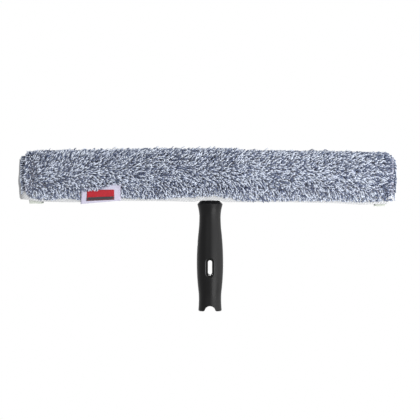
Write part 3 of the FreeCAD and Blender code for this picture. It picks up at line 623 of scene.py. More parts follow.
def tube_points(lines, radii, sides, seed):
    """Rings of points round lines of shape (count, rings, 3), with radii of shape (count, rings)."""
    count, rings = lines.shape[:2]
    rng = np.random.default_rng(seed)
    tangent = np.gradient(lines, axis=1)
    tangent /= np.linalg.norm(tangent, axis=2, keepdims=True)
    aside = np.cross(tangent[:, rings // 2], rng.normal(size=(count, 3)))
    aside = np.repeat(aside[:, None, :], rings, axis=1)
    aside -= (aside * tangent).sum(axis=2, keepdims=True) * tangent
    aside /= np.linalg.norm(aside, axis=2, keepdims=True)
    across = np.cross(tangent, aside)
    turn = np.linspace(0, 2 * np.pi, sides, endpoint=False)
    ring = np.cos(turn)[:, None] * aside[:, :, None, :] + np.sin(turn)[:, None] * across[:, :, None, :]
    return lines[:, :, None, :] + radii[:, :, None, None] * ring


def tube_map(count, rings, sides, corners):
    """The map of all tubes: a square cell for each, inside a margin."""
    cells = int(np.ceil(np.sqrt(count)))
    wall_u = np.repeat(np.linspace(CELL_MARGIN, 1 - CELL_MARGIN, rings), sides)[corners]
    side_of = np.tile(np.array([[0, 1, 1, 0]]), ((rings - 1) * sides, 1))
    side_of = side_of + np.tile(np.arange(sides), rings - 1)[:, None]
    cap = np.arange(sides)
    wall_v = np.concatenate([side_of.ravel(), cap, cap]) / sides * (1 - 2 * CELL_MARGIN) + CELL_MARGIN
    number = np.arange(count)
    cell = np.stack([number % cells, number // cells], axis=-1)
    return (cell[:, None, :] + np.stack([wall_u, wall_v], axis=-1)[None]) / cells


# %% One mesh of many tubes
def tube_mesh(name, lines, radii, tones, sides, seed):
    """Closed tubes along lines, as one mesh with a map, a tone for each tube and a share along it."""
    count, rings = lines.shape[:2]
    points = tube_points(lines, radii, sides, seed)
    index = np.arange(rings * sides).reshape(rings, sides)
    after = np.roll(index, -1, axis=1)
    walls = np.stack([index[:-1], after[:-1], after[1:], index[1:]], axis=-1).reshape(-1)
    corners = np.concatenate([walls, index[0][::-1], index[-1]])
    starts = np.append(np.arange(0, len(walls), 4), [len(walls), len(walls) + sides])
    number = np.arange(count)[:, None]
    all_corners = (corners[None, :] + number * rings * sides).ravel()
    all_starts = (starts[None, :] + number * len(corners)).ravel()

    mesh = bpy.data.meshes.new(name)
    mesh.vertices.add(count * rings * sides)
    mesh.vertices.foreach_set("co", points.astype(np.float32).ravel())
    mesh.loops.add(len(all_corners))
    mesh.loops.foreach_set("vertex_index", all_corners.astype(np.int32))
    mesh.polygons.add(len(all_starts))
    mesh.polygons.foreach_set("loop_start", all_starts.astype(np.int32))
    mesh.update(calc_edges=True)

    bake_map = mesh.uv_layers.new(name="OFBake")
    bake_map.data.foreach_set("uv", tube_map(count, rings, sides, corners).astype(np.float32).ravel())
    shares = np.tile(np.repeat(np.linspace(0, 1, rings), sides), count)
    for attribute, values in (("tone", np.repeat(tones, rings * sides)), ("along", shares)):
        layer = mesh.attributes.new(attribute, "FLOAT", "POINT")
        layer.data.foreach_set("value", values.astype(np.float32))
    mesh.shade_smooth()
    return mesh


# %% Stitches along a row
STITCH = 2.6 * MM
STITCH_GAP = 0.7 * MM
STITCH_RINGS = 5
THREAD_RADIUS = 0.19 * MM
THREAD_SIDES = 5


def stitches(name, rows, material, body, lift, seed):
    """Lockstitches along rows, each a (start, end) pair; lift points out of the cloth, in metres."""
    lines = []
    share = np.linspace(0, 1, STITCH_RINGS)
    hump = np.sin(share * np.pi)[:, None] * np.array(lift)
    for start, end in rows:
        start, end = np.array(start), np.array(end)
        length = np.linalg.norm(end - start)
        count = max(1, int(length // (STITCH + STITCH_GAP)))
        pitch = length / count
        for i in range(count):
            along = (i * pitch + STITCH_GAP / 2 + share * (pitch - STITCH_GAP)) / length
            lines.append(start + along[:, None] * (end - start) + hump)
    lines = np.array(lines)
    radii = np.full(lines.shape[:2], THREAD_RADIUS)
    tones = np.random.default_rng(seed).random(len(lines))
    mesh = tube_mesh(name, lines, radii, tones, sides=THREAD_SIDES, seed=seed)
    print(f"{name}: {len(lines)} stitches")
    return add_piece(name, mesh, material, body)


# %% [markdown]
# ## The sleeve's cloth
# The base cloth goes up the front, over the bar and down the rear. It is hidden under the pile and
# shows only from below and inside, so a plain strip with a few soft waves is enough.
# At each end a panel closes the tube; it is cut to the same section and bulges a little.

# %% Base cloth
SLEEVE_WAVE = {"long": 40 * MM, "high": 0.25 * MM}
ROUND_POINTS = 25


def sleeve_shape(points):
    """The base cloth swells a little and hangs with the sleeve."""
    points[..., 1] += ripple(points, SLEEVE_WAVE, seed=1)
    return sag(points)


backing_line = joined(
    straight((-cloth_middle, hem_high.z), (-cloth_middle, shoulder)),
    bend((0, shoulder), cloth_middle, 180, 0, count=ROUND_POINTS),
    straight((cloth_middle, shoulder), (cloth_middle, backing_low.z)),
)
backing = cloth_strip("sleeve_base_cloth", backing_line, backing_low.x, backing_high.x, CLOTH, base_weave,
                      "scrubber", ["sleeve_backing"], shape=sleeve_shape, step=5 * MM)

# %% End panels
SIDES = {"left": -1, "right": 1}
END_RINGS = np.linspace(1, 0.05, 7)
END_BULGE = 0.8 * MM


def end_panel(side, way):
    """The closed end of the sleeve: rings of its outline drawn in to the middle, bulging outwards."""
    node = f"{side}_end_panel"
    low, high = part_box(node)
    middle_x, middle_z = (low.x + high.x) / 2, (low.z + high.z) / 2
    outline = joined(
        straight((cloth_face, low.z), (cloth_face, shoulder)),
        bend((0, shoulder), cloth_face, 0, 180, count=ROUND_POINTS),
        straight((-cloth_face, shoulder), (-cloth_face, low.z)),
        straight((-cloth_face, low.z), (cloth_face, low.z)),
    )
    rings = [np.stack([np.full(len(outline), middle_x + way * END_BULGE * (1 - share ** 2)),
                       outline[:, 0] * share, middle_z + (outline[:, 1] - middle_z) * share], axis=-1)
             for share in END_RINGS]
    mesh = grid_mesh(node, sag(np.stack(rings)), END_RINGS * cloth_face, run_length(outline))
    mesh.flip_normals()
    piece = add_piece(f"{side}_end_cloth", mesh, base_weave, "scrubber", [node])
    thicken(piece, CLOTH, even=False)


for side, way in SIDES.items():
    end_panel(side, way)
print("made the end panels")

# %% [markdown]
# ## Hem, binding and label
# A white twill tape is folded over the lower front edge and stitched through. It shows as the pale
# band under the pile. The left end seam is bound with the same tape, folded round the seam, which
# stands out of the pile as a thin white line. Its edge isn't ruler-straight, because it is soft.
# Flat bands could stand for both, but a folded strip shows its bend and its two layers from below.

# %% Front hem
LEFT_TURN = 7.0 * MM
TURN_BACK = 4.0 * MM
RIGHT_TURN = -4.6 * MM
HEM_WAVE = {"long": 30 * MM, "high": 0.3 * MM}
HEM_EDGE_WAVE = {"long": 26 * MM, "high": 0.3 * MM}
HEM_SEAM = {"height": 2.2 * MM, "margin": 2 * MM, "step": 6.6 * MM, "lift": 0.3 * MM}


def hem_shape(points):
    """The hem ripples, turns back round the left end and hangs with the sleeve."""
    points[..., 1] += ripple(points, HEM_WAVE, seed=2)
    points[..., 2] += ripple(points, HEM_EDGE_WAVE, seed=3, along=(1, 0, 0))
    turned = np.clip((hem_low.x - points[..., 0]) / LEFT_TURN, 0, 1)
    points[..., 1] += TURN_BACK * turned ** 2
    return sag(points)


fold = (hem_high.y - hem_low.y) / 2 - TAPE / 2
hem_middle = (hem_high.y + hem_low.y) / 2
hem_front = hem_middle - fold
fold_z = hem_low.z + fold + TAPE / 2
hem_line = folded(hem_middle, fold, fold_z, hem_high.z)
hem_left, hem_right = hem_low.x - LEFT_TURN, hem_high.x + RIGHT_TURN
hem = cloth_strip("hem_tape", hem_line, hem_left, hem_right, TAPE, hem_twill, "scrubber",
                  ["front_hem"], shape=hem_shape)

seam_z = hem_low.z + HEM_SEAM["height"]
seam_xs = np.arange(hem_low.x + HEM_SEAM["margin"], hem_high.x - HEM_SEAM["margin"], HEM_SEAM["step"])
seam_points = hem_shape(np.array([[x, hem_front - TAPE / 2, seam_z] for x in seam_xs]))
hem_seam = stitches("hem_stitches", list(zip(seam_points[:-1], seam_points[1:])), white_thread, "scrubber",
                    (0, -HEM_SEAM["lift"], 0), seed=4)

# %% Left end binding
BINDING = 0.7 * MM
BINDING_EDGE_WAVE = {"long": 9 * MM, "high": 0.3 * MM}
BINDING_SIDE_WAVE = {"long": 15 * MM, "high": 0.8 * MM}
BULGE_HEIGHTS = np.array([136, 145, 157, 172, 185]) * MM
BULGE = np.array([0.9, 0.1, -1.0, -0.1, 0.7]) * MM
binding_low, binding_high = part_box("left_end_binding")
binding_fold = binding_high.y - BINDING / 2


def upright(run, line):
    """Stands a section's (x, y) line up along Z."""
    return np.stack(np.broadcast_arrays(line[..., 0], line[..., 1], run), axis=-1)


def binding_shape(points):
    """The binding's free edge bulges and ripples; its sewn edge stays."""
    free = (binding_high.x - points[..., 0]) / (binding_high.x - binding_low.x)
    points[..., 0] += free * between(points[..., 2], BULGE_HEIGHTS, BULGE)
    points[..., 0] += free * ripple(points, BINDING_EDGE_WAVE, seed=5, along=(0, 0, 1))
    points[..., 1] += free * ripple(points, BINDING_SIDE_WAVE, seed=6, along=(0, 0, 1))
    return sag(points)


fold_x = binding_low.x + binding_fold + BINDING / 2
binding_line = joined(
    straight((binding_high.x, binding_fold), (fold_x, binding_fold)),
    bend((fold_x, 0), binding_fold, 90, 270),
    straight((fold_x, -binding_fold), (binding_high.x, -binding_fold)),
)
binding = cloth_strip("left_end_tape", binding_line, binding_low.z, binding_high.z, BINDING, hem_twill,
                      "scrubber", ["left_end_binding"], place=upright, shape=binding_shape,
                      step=2 * MM)

# %% [markdown]
# The label is a white cloth patch sewn over the lower front, with a smaller plain red woven panel on
# it, which has a charcoal band along its foot. The patch's top is tucked into the pile and its foot
# hangs over the hem. It sits askew, as sewn by hand, so its points are raised from left to right.
# Its colours could be painted on one sheet, but layers of cloth have edges that catch the light.

# %% How the label lies
LABEL_TILT = np.radians([5.0, 2.8, 0.8, 0.8])
LABEL_LIFT = 0.4 * MM
LABEL_RISE = 5.4 * MM
LABEL_CORNER = {"spread": 0.6, "start": 0.17}
LABEL_TAPER = 0.07
LABEL_WIDER = 1.5 * MM
LABEL_WAVE = {"long": 14 * MM, "high": 0.35 * MM}
LABEL_TUCK = 3.4 * MM
LABEL_OFF_HEM = 0.9 * MM
LABEL_LEAN = {"from": 4 * MM, "short": 3 * MM}
PANEL_MARGIN = {"left": 7.0 * MM, "right": 6.4 * MM, "top": 2.6 * MM, "bottom": 2.4 * MM}

label_low, label_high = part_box("sewn_label")
label_middle = (label_low + label_high) / 2
label_right = label_high.x + LABEL_WIDER
label_wide, label_tall = label_high.x - label_low.x, label_high.z - label_low.z
label_top_y = label_low.y + LABEL_TUCK
label_foot_y = hem_low.y - LABEL_OFF_HEM
panel_left, panel_right = label_low.x + PANEL_MARGIN["left"], label_high.x - PANEL_MARGIN["right"]
panel_bottom, panel_top = label_low.z + PANEL_MARGIN["bottom"], label_high.z - PANEL_MARGIN["top"]
label_levels = np.array([label_low.z, panel_bottom, panel_top, label_high.z])


def label_depth(z):
    """How far forward the label lies at a height: out over the pile above, close to the hem below."""
    share = ease((z - label_low.z - LABEL_LEAN["from"]) / (label_tall - LABEL_LEAN["short"]))
    return label_foot_y + (label_top_y - label_foot_y) * share


def label_askew(x, z):
    """How much higher the label lies at a place than it would if it were sewn on straight."""
    aside = x - label_middle.x
    tilt = np.interp(z, label_levels, LABEL_TILT)
    corner = ease(aside / label_wide / LABEL_CORNER["spread"] + LABEL_CORNER["start"])
    corner = corner * ease((z - panel_top) / PANEL_MARGIN["top"])
    return LABEL_LIFT + aside * np.tan(tilt) + LABEL_RISE * corner


def label_shape(points):
    """Sets the label askew, narrows its top left and lets it ripple."""
    points[..., 2] += label_askew(points[..., 0], points[..., 2])
    narrowed = LABEL_TAPER * np.clip((points[..., 2] - label_low.z) / label_tall, 0, 1)
    points[..., 0] += np.clip(label_middle.x - points[..., 0], 0, None) * narrowed
    points[..., 1] += ripple(points, LABEL_WAVE, seed=7)
    return points


print("label is", round(label_wide / MM, 1), "mm wide")

# %% Sewn label
LABEL_POINTS = 14
LABEL_THICK = {"patch": 0.45 * MM, "panel": 0.4 * MM, "band": 0.3 * MM}
PANEL_LIFT = 0.45 * MM
BAND_LIFT = PANEL_LIFT + 0.3 * MM
BAND_TALL = 4.2 * MM
LABEL_SEAM = {"inset": 0.9 * MM, "lift": 0.25 * MM}


def label_layer(name, left, right, bottom, top, lift, material, replaced=()):
    """One layer of the label; returns the piece and its line in section."""
    heights = np.linspace(top, bottom, LABEL_POINTS)
    line = np.stack([label_depth(heights) - lift, heights], axis=1)
    piece = cloth_strip(f"label_{name}", line, left, right, LABEL_THICK[name], material, "scrubber",
                        replaced, shape=label_shape, step=2 * MM)
    return piece, line


patch, patch_line = label_layer("patch", label_low.x, label_right, label_low.z, label_high.z, 0, label_weave,
                                ["sewn_label"])
panel, panel_line = label_layer("panel", panel_left, panel_right, panel_bottom, panel_top, PANEL_LIFT,
                                red_satin)
band = label_layer("band", panel_left, panel_right, panel_bottom, panel_bottom + BAND_TALL, BAND_LIFT,
                   grey_satin)[0]

inset = LABEL_SEAM["inset"]
corners = [(panel_left + inset, panel_bottom + inset), (panel_right - inset, panel_bottom + inset),
           (panel_right - inset, panel_top - inset), (panel_left + inset, panel_top - inset)]
label_rows = []
for (x0, z0), (x1, z1) in zip(corners, corners[1:] + corners[:1]):
    steps = max(2, int(np.hypot(x1 - x0, z1 - z0) / (STITCH + STITCH_GAP)))
    xs, zs = np.linspace(x0, x1, steps + 1), np.linspace(z0, z1, steps + 1)
    row = label_shape(np.stack([xs, label_depth(zs) - PANEL_LIFT - LABEL_SEAM["lift"], zs], axis=-1))
    label_rows += list(zip(row[:-1], row[1:]))
label_seam = stitches("label_stitches", label_rows, red_thread, "scrubber",
                      (0, -LABEL_SEAM["lift"], 0), seed=8)

# %% [markdown]
# ## Closing flaps
# Under the bar the sleeve is closed by two flaps, one each side of the neck. Each is one piece of
# cloth: sewn over the raw rear edge, across below the bar, then turned down behind the front hem,
# where hooks on the flap meet loops on the hem. The flap's cloth is modelled in place and is not
# attached to a body; the hook tape, tab and seams on it go with the flap's body.

# %% Flaps
FLAP_CLOTH = 1.0 * MM
FLAP_WAVE = {"long": 24 * MM, "high": 0.25 * MM}
FLAP_FREE = {"from": 3 * MM, "run": 8 * MM}
MARGIN = 6.0 * MM
WRAP = 1.4 * MM
FIN_BEND = 1.6 * MM
FIN_INSET = 0.7 * MM


def flap(side):
    """One closing flap, in place along its hinge; returns the piece, its section and its fin's depth."""
    node = f"{side}_closing_flap"
    low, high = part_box(node)
    hinge = next(joint for joint in frame["joints"] if joint["name"] == f"{side}_flap_hinge")
    hinge_y, hinge_z = hinge["pos_m"][1:]
    wrap_z = hinge_z + WRAP
    fin_y = low.y + FIN_INSET
    line = joined(
        straight((hinge_y + WRAP, wrap_z + MARGIN), (hinge_y + WRAP, wrap_z)),
        bend((hinge_y, wrap_z), WRAP, 0, -90),
        straight((hinge_y, hinge_z), (fin_y + FIN_BEND, hinge_z)),
        bend((fin_y + FIN_BEND, hinge_z - FIN_BEND), FIN_BEND, 90, 180),
        straight((fin_y, hinge_z - FIN_BEND), (fin_y, low.z)),
    )

    def shape(points):
        """The flap ripples where it isn't sewn."""
        free = ease((hinge_y - FLAP_FREE["from"] - points[..., 1]) / FLAP_FREE["run"])
        points[..., 2] += free * ripple(points, FLAP_WAVE, seed=9)
        return points

    piece = cloth_strip(f"{side}_flap_cloth", line, low.x, high.x, FLAP_CLOTH, base_weave, None,
                        [node], shape=shape)
    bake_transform(piece)
    return piece, line, fin_y


flaps = {side: flap(side) for side in SIDES}

# %% [markdown]
# Hook tape is moulded nylon: rows of tiny J-shaped hooks on a thin base. Loop tape is knitted and
# brushed, so its loops stand up at all angles. Both could be a bump, but they show at the edges when
# a flap is open, so hooks and loops are strands. Real ones are 1 mm apart; these are 2 mm apart.

# %% Shapes of hooks and loops
HOOK_PITCH = 2.0 * MM
HOOK_ROW = 1.5 * MM
HOOK_UNEVEN = 0.15 * MM
BARE = {"ends": 1.2 * MM, "foot": 0.9 * MM, "top": 0.6 * MM}
HOOK = {"stem": 0.45 * MM, "bend": 0.3 * MM, "turn": 200, "splay": 0.2}
LOOP_WIDTH = (0.35 * MM, 0.7 * MM)
LOOP_TALL = (0.4 * MM, 0.62 * MM)
BEND_POINTS = 6


def tape_roots(low, high, rng):
    """A grid of places on a tape's face, a little uneven."""
    xs = np.arange(low.x + BARE["ends"], high.x - BARE["ends"], HOOK_PITCH)
    zs = np.arange(low.z + BARE["foot"], high.z - BARE["top"], HOOK_ROW)
    grid = np.stack(np.meshgrid(xs, zs, indexing="ij"), axis=-1).reshape(-1, 2)
    return grid + rng.uniform(-HOOK_UNEVEN, HOOK_UNEVEN, grid.shape)


def hook_lines(roots, base_y, rng):
    """J-shaped hooks that stand out to the front and turn down."""
    turn = np.radians(np.linspace(0, HOOK["turn"], BEND_POINTS))
    out = np.append(0, HOOK["stem"] + HOOK["bend"] * np.sin(turn))
    drop = np.append(0, HOOK["bend"] * (1 - np.cos(turn)))
    lean = rng.choice([-1, 1], len(roots))[:, None]
    return np.stack([roots[:, :1] + HOOK["splay"] * lean * drop, base_y - np.tile(out, (len(roots), 1)),
                     roots[:, 1:] - drop], axis=-1)


def loop_lines(roots, base_y, rng):
    """Soft loops that stand out to the rear, each turned its own way."""
    turn = np.linspace(0, np.pi, BEND_POINTS)
    width = rng.uniform(*LOOP_WIDTH, len(roots))[:, None]
    tall = rng.uniform(*LOOP_TALL, len(roots))[:, None]
    angle = rng.uniform(0, np.pi, len(roots))[:, None]
    sway = width * np.cos(turn)
    return np.stack([roots[:, :1] + sway * np.cos(angle), base_y + tall * np.sin(turn),
                     roots[:, 1:] + sway * np.sin(angle)], axis=-1)


print("rows of hooks and loops are", HOOK_ROW / MM, "mm apart")

# %% Fastening tapes
TAPE_BASE = 0.5 * MM
HOOK_RADIUS = 0.13 * MM


def fastening_tape(side, kind, face_y, make_lines, way, body, material, seed):
    """A tape on a flap or behind the hem: a woven base with strands on its face."""
    node = f"{side}_{kind}_tape"
    low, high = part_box(node)
    rng = np.random.default_rng(seed)
    middle = face_y - way * TAPE_BASE / 2
    line = straight((middle, high.z), (middle, low.z))
    base = cloth_strip(f"{side}_{kind}_tape_base", line, low.x, high.x, TAPE_BASE, tape_nylon, body,
                       [node], step=4 * MM)
    lines = make_lines(tape_roots(low, high, rng), face_y, rng)
    radii = np.full(lines.shape[:2], HOOK_RADIUS)
    mesh = tube_mesh(f"{side}_{kind}s", lines, radii, rng.random(len(lines)), sides=3, seed=seed)
    strands = add_piece(f"{side}_{kind}s", mesh, material, body)
    print(f"{node}: {len(lines)} {kind}s")
    return [base, strands]


for seed, side in enumerate(SIDES, start=20):
    loop_face = hem_high.y + TAPE_BASE
    hook_face = flaps[side][2] - FLAP_CLOTH / 2 - TAPE_BASE
    fastening_tape(side, "loop", loop_face, loop_lines, 1, "scrubber", loop_fibre, seed)
    fastening_tape(side, "hook", hook_face, hook_lines, -1, f"{side}_flap", hook_nylon,
                                 seed + 10)

# %% [markdown]
# A short tail of raw cotton tape is folded and sewn behind each flap, to pull it open by. In the
# photograph the tails hang a few millimetres below the hem, each with a dark dot at its inner
# corner, where short stitches of charcoal thread are drawn. The right one hangs lower, with the sag
# of that end. A flat plate could stand for a tail, but its fold shows from the side, so it takes a
# folded section as the hem does.

# %% Pull tabs
TAB_TAPE = 0.5 * MM
TAB_DROP = {"left": 0.7 * MM, "right": 3.8 * MM}
TAB_SHIFT = {"left": 0.0, "right": -2.0 * MM}
TAB_TAPER = {"left": 2.4 * MM, "right": 0.0}
TAB_WAVE = {"long": 8 * MM, "high": 0.5 * MM}
TACK = {"inset": 0.9 * MM, "apart": 0.3 * MM, "foot": 0.2 * MM, "top": 2.6 * MM, "lift": 0.2 * MM}
TACK_ROWS = range(-3, 4)


def pull_tab(side, way):
    """A folded tail of tape behind a flap, with short stitches of charcoal thread at its inner corner."""
    node = f"{side}_pull_tab"
    low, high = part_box(node)
    half = (high.y - low.y) / 2 - TAB_TAPE / 2
    middle = (high.y + low.y) / 2
    foot = low.z - TAB_DROP[side] + half + TAB_TAPE / 2
    line = folded(middle, half, foot, high.z)

    def shape(points):
        """The tab is cut slanting at its outer side, and its foot ripples."""
        outer = np.clip((high.x - points[..., 0]) / (high.x - low.x), 0, 1)
        hang = ease((high.z - points[..., 2]) / (high.z - foot))
        points[..., 0] += TAB_SHIFT[side] + TAB_TAPER[side] * outer * hang
        points[..., 2] += ripple(points, TAB_WAVE, seed=11, along=(1, 0, 0))
        return points

    body = f"{side}_flap"
    tab = cloth_strip(f"{side}_tab_tape", line, low.x, high.x, TAB_TAPE, tab_twill, body, [node],
                      shape=shape, step=1.5 * MM)
    inner = high.x if way < 0 else low.x
    tack_x = inner + way * TACK["inset"] + TAB_SHIFT[side]
    front = middle - half - TAB_TAPE / 2
    tack_rows = [((x, front, foot + TACK["foot"]), (x, front, foot + TACK["top"]))
                 for x in (tack_x + i * TACK["apart"] for i in TACK_ROWS)]
    tack = stitches(f"{side}_tab_tack", tack_rows, dark_thread, body, (0, -TACK["lift"], 0),
                    seed=12)


# %% Tabs and flap seams
FLAP_SEAM = {"heights": (136.2 * MM, 140.4 * MM), "margin": 2 * MM, "lift": 0.25 * MM}

for side, way in SIDES.items():
    pull_tab(side, way)
    cloth, line, fin_y = flaps[side]
    low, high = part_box(f"{side}_closing_flap")
    back = fin_y + FLAP_CLOTH / 2
    rows = [((low.x + FLAP_SEAM["margin"], back, z), (high.x - FLAP_SEAM["margin"], back, z))
            for z in FLAP_SEAM["heights"]]
    seam = stitches(f"{side}_flap_stitches", rows, white_thread, f"{side}_flap",
                    (0, FLAP_SEAM["lift"], 0), seed=13)
print("made tabs and flap seams")

# %% [markdown]
# ## The pile
# The pile is what the eye sees first: thousands of soft yarns, combed to the right, so that over the
# rounded sleeve they point up and right at the top, to the right in the middle and down and right
# along the lower edge. That comes by itself if every tuft grows straight out of the cloth and then
# leans along the bar. Slow waves turn the lean, which gives the pile its ripples.

# %% Where tufts stand
TUFT_PITCH = 1.5 * MM
TUFT_START = 0.25
TUFT_UNEVEN = 0.3
FRONT_EDGE = 137.4 * MM
REAR_EDGE = 146.0 * MM
PILE_SEED = 1857
front_run = shoulder - FRONT_EDGE
over_run = math.pi * cloth_face
rear_run = shoulder - REAR_EDGE
crown_run = front_run + over_run / 2


def cloth_place(run):
    """The cloth's face at a distance from its lower front edge: point, way up, way out and pile depth."""
    angle = np.clip((run - front_run) / cloth_face, 0, math.pi)
    beyond = np.clip(run - front_run - over_run, 0, None)
    before = np.clip(front_run - run, 0, None)
    height = shoulder + cloth_face * np.sin(angle) - before - beyond
    point = np.stack([-cloth_face * np.cos(angle), height], axis=-1)
    centre = np.stack([0 * run, np.clip(height, haunch, shoulder)], axis=-1)
    reach = np.linalg.norm(point - centre, axis=1)
    uphill = np.stack([np.sin(angle), np.cos(angle)], axis=-1) * np.where(angle < math.pi / 2, 1, -1)[:, None]
    return point, uphill, (point - centre) / reach[:, None], pile_face - reach


def tuft_grid(width, height, rng):
    """Places about one tuft pitch apart, in staggered rows, and True where a tuft is dark by turns."""
    columns, rows = int(width / TUFT_PITCH), int(height / TUFT_PITCH)
    grid = np.stack(np.meshgrid(np.arange(columns), np.arange(rows), indexing="ij"), axis=-1).reshape(-1, 2)
    stagger = np.stack([0.5 * (grid[:, 1] % 2), 0 * grid[:, 1]], axis=-1)
    uneven = rng.uniform(-TUFT_UNEVEN, TUFT_UNEVEN, grid.shape)
    spots = (grid + TUFT_START + stagger + uneven) / [columns, rows]
    return spots * [width, height], (grid.sum(axis=1) % 2).astype(bool)


rng = np.random.default_rng(PILE_SEED)
spots, dark_turn = tuft_grid(backing_high.x - backing_low.x, front_run + over_run + rear_run, rng)
tuft_x, tuft_run = backing_low.x + spots[:, 0], spots[:, 1]
print("tufts over the sleeve:", len(spots))

# %% Which way the tufts lean
LAY_PLACES = np.array([0, 10, 17, 25, 32, 38, 45, 53]) * MM
LAY_DEGREES = np.array([0, 26, 29, 9, -2, -12, -30, -44])
LEFT_LIFT = {"turn": math.radians(25), "from": 120 * MM, "run": 50 * MM, "low": 42 * MM, "fade": 8 * MM}
RIPPLE = {"long": 30 * MM, "high": math.radians(26)}
RUFFLE = {"long": 7 * MM, "high": math.radians(22)}


def lay_of(x, run):
    """The direction that tufts lean in, as an angle above the way to the right."""
    from_crown = np.abs(run - crown_run)
    flat = np.stack([x, run, 0 * x], axis=-1)
    turn = np.radians(np.interp(from_crown, LAY_PLACES, LAY_DEGREES))
    at_left = ease((-x - LEFT_LIFT["from"]) / LEFT_LIFT["run"])
    turn += LEFT_LIFT["turn"] * at_left * ease((LEFT_LIFT["low"] - from_crown) / LEFT_LIFT["fade"])
    turn += ripple(flat, RIPPLE, seed=31) * np.cos(turn)
    return turn + ripple(flat, RUFFLE, seed=32)


print("lean from the crown down, in degrees:", LAY_DEGREES)

# %% Yarns of the sleeve
YARN_SHARES = np.array([0.0, 0.3, 0.58, 0.85, 1.0])
RISE_CURVE = 1.7
LEAN_CURVE = 1.6
TIP_DROOP = 0.8 * MM
STRAY_PLACES = np.array([0, 20, 36, 50]) * MM
STRAY = np.radians([17, 20, 30, 48])
LEFT_NEAT = {"share": 0.4, "from": 60 * MM, "run": 60 * MM}
FLYAWAY = {"share": 0.016, "more": 1.35}
WORN_PLACES = np.array([-229, -165, -136, -60, 27, 38, 60, 109, 126, 150, 170, 223]) * MM
WORN = np.array([0.86, 0.9, 1.0, 1.14, 1.14, 0.88, 0.84, 0.79, 0.83, 0.78, 0.72, 0.68])
YARN_LENGTH = (2.8 * MM, 6.2 * MM)
YARN_RISE = (0.72, 1.1)
LEAST_RISE = 3 * MM
ROOT_UNEVEN = 0.3 * MM
LOW_PILE = {"from": 36 * MM, "run": 12 * MM, "shorter": 0.4, "flatter": 0.6}
LEFT_CORNER = {"run": 15 * MM, "uneven": 3 * MM, "shorter": 1.9, "less_low": 0.5}


def yarn_lines(root, out, rise, lean):
    """Yarns that rise along a way out and then lean over, as lines of shape (count, rings, 3)."""
    share = YARN_SHARES[None, :, None]
    line = root[:, None, :] + (rise[:, None] * out)[:, None, :] * (1 - (1 - share) ** RISE_CURVE)
    line = line + lean[:, None, :] * share ** LEAN_CURVE
    line[..., 2] -= TIP_DROOP * share[..., 0] ** 2
    return line


def sleeve_yarns(x, run, rng):
    """One yarn for every tuft of the sleeve."""
    count = len(x)
    point, uphill, out, depth = cloth_place(run)
    from_crown = np.abs(run - crown_run)
    neat = 1 - LEFT_NEAT["share"] * ease((-x - LEFT_NEAT["from"]) / LEFT_NEAT["run"])
    turn = lay_of(x, run) + rng.normal(0, 1, count) * np.interp(from_crown, STRAY_PLACES, STRAY) * neat
    low = ease((from_crown - LOW_PILE["from"]) / LOW_PILE["run"])
    fly = np.where(rng.random(count) < FLYAWAY["share"], FLYAWAY["more"], 1)
    length = rng.uniform(*YARN_LENGTH, count) * fly * (1 - LOW_PILE["shorter"] * low)
    into_corner = backing_low.x + LEFT_CORNER["run"] - x + rng.normal(0, LEFT_CORNER["uneven"], count)
    corner = ease(into_corner / LEFT_CORNER["run"])
    length = length * (1 - LEFT_CORNER["shorter"] * corner * (1 - LEFT_CORNER["less_low"] * low))
    way = np.column_stack([np.cos(turn), np.sin(turn) * uphill[:, 0], np.sin(turn) * uphill[:, 1]])
    root = np.column_stack([x, point]) + rng.normal(0, ROOT_UNEVEN, (count, 3))
    worn = between(x, WORN_PLACES, WORN)
    rise = np.maximum(depth, LEAST_RISE) * rng.uniform(*YARN_RISE, count) * worn * fly
    outward = np.column_stack([0 * x, out])
    outward[:, 2] *= 1 - LOW_PILE["flatter"] * low
    return yarn_lines(root, outward, rise, length[:, None] * way)


strands = sleeve_yarns(tuft_x, tuft_run, rng)
print("yarns before trimming:", len(strands))

# %% Yarns of the end panels
END_REACH = {"left": 1.12, "right": 0.95}
END_RISE = (0.75, 1.1)
END_LEAN = (2.0 * MM, 6.0 * MM)
END_STRAY = 1.2 * MM
END_FALL = 1.5 * MM
FAN = {"below": 14 * MM, "least": 2 * MM, "upward": 0.3}
HANG = {"left": 0.0, "right": 3.2 * MM, "run": 9.0 * MM, "closer": 0.6}


def end_yarns(spots, face, way, reach, hang, rng):
    """One yarn for every tuft of an end panel: it stands out and falls away from the middle."""
    count = len(spots)
    fan = spots - [0, shoulder - FAN["below"]]
    fan = fan / np.maximum(np.linalg.norm(fan, axis=1, keepdims=True), FAN["least"])
    fan[:, 1] *= np.where(fan[:, 1] > 0, FAN["upward"], 1)
    drop = hang * ease((backing_low.z + HANG["run"] - spots[:, 1]) / HANG["run"])
    lean = fan * rng.uniform(*END_LEAN, (count, 1)) + rng.normal(0, END_STRAY, (count, 2)) - [0, END_FALL]
    lean[:, 1] -= drop
    root = np.column_stack([np.full(count, face), spots]) + rng.normal(0, ROOT_UNEVEN, (count, 3)) * [0, 1, 1]
    out = np.tile([way, 0, 0], (count, 1))
    rise = reach * rng.uniform(*END_RISE, count) - HANG["closer"] * drop
    return yarn_lines(root, out, rise, np.column_stack([0 * fan[:, 0], lean]))


def end_tufts(side, way, rng):
    """The yarns of one end panel, and True where a tuft is dark by turns."""
    low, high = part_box(f"{side}_end_panel")
    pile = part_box(f"{side}_end_pile")
    spots, dark = tuft_grid(2 * cloth_face, high.z - low.z, rng)
    spots = spots + [-cloth_face, low.z]
    inside = np.hypot(spots[:, 0], np.clip(spots[:, 1] - shoulder, 0, None)) < cloth_face
    face = high.x if way > 0 else low.x
    reach = END_REACH[side] * (pile[1].x - pile[0].x)
    return end_yarns(spots[inside], face, way, reach, HANG[side], rng), dark[inside]


end_strands = {side: end_tufts(side, way, rng) for side, way in SIDES.items()}
print("yarns on the ends:", {side: len(dark) for side, (_, dark) in end_strands.items()})

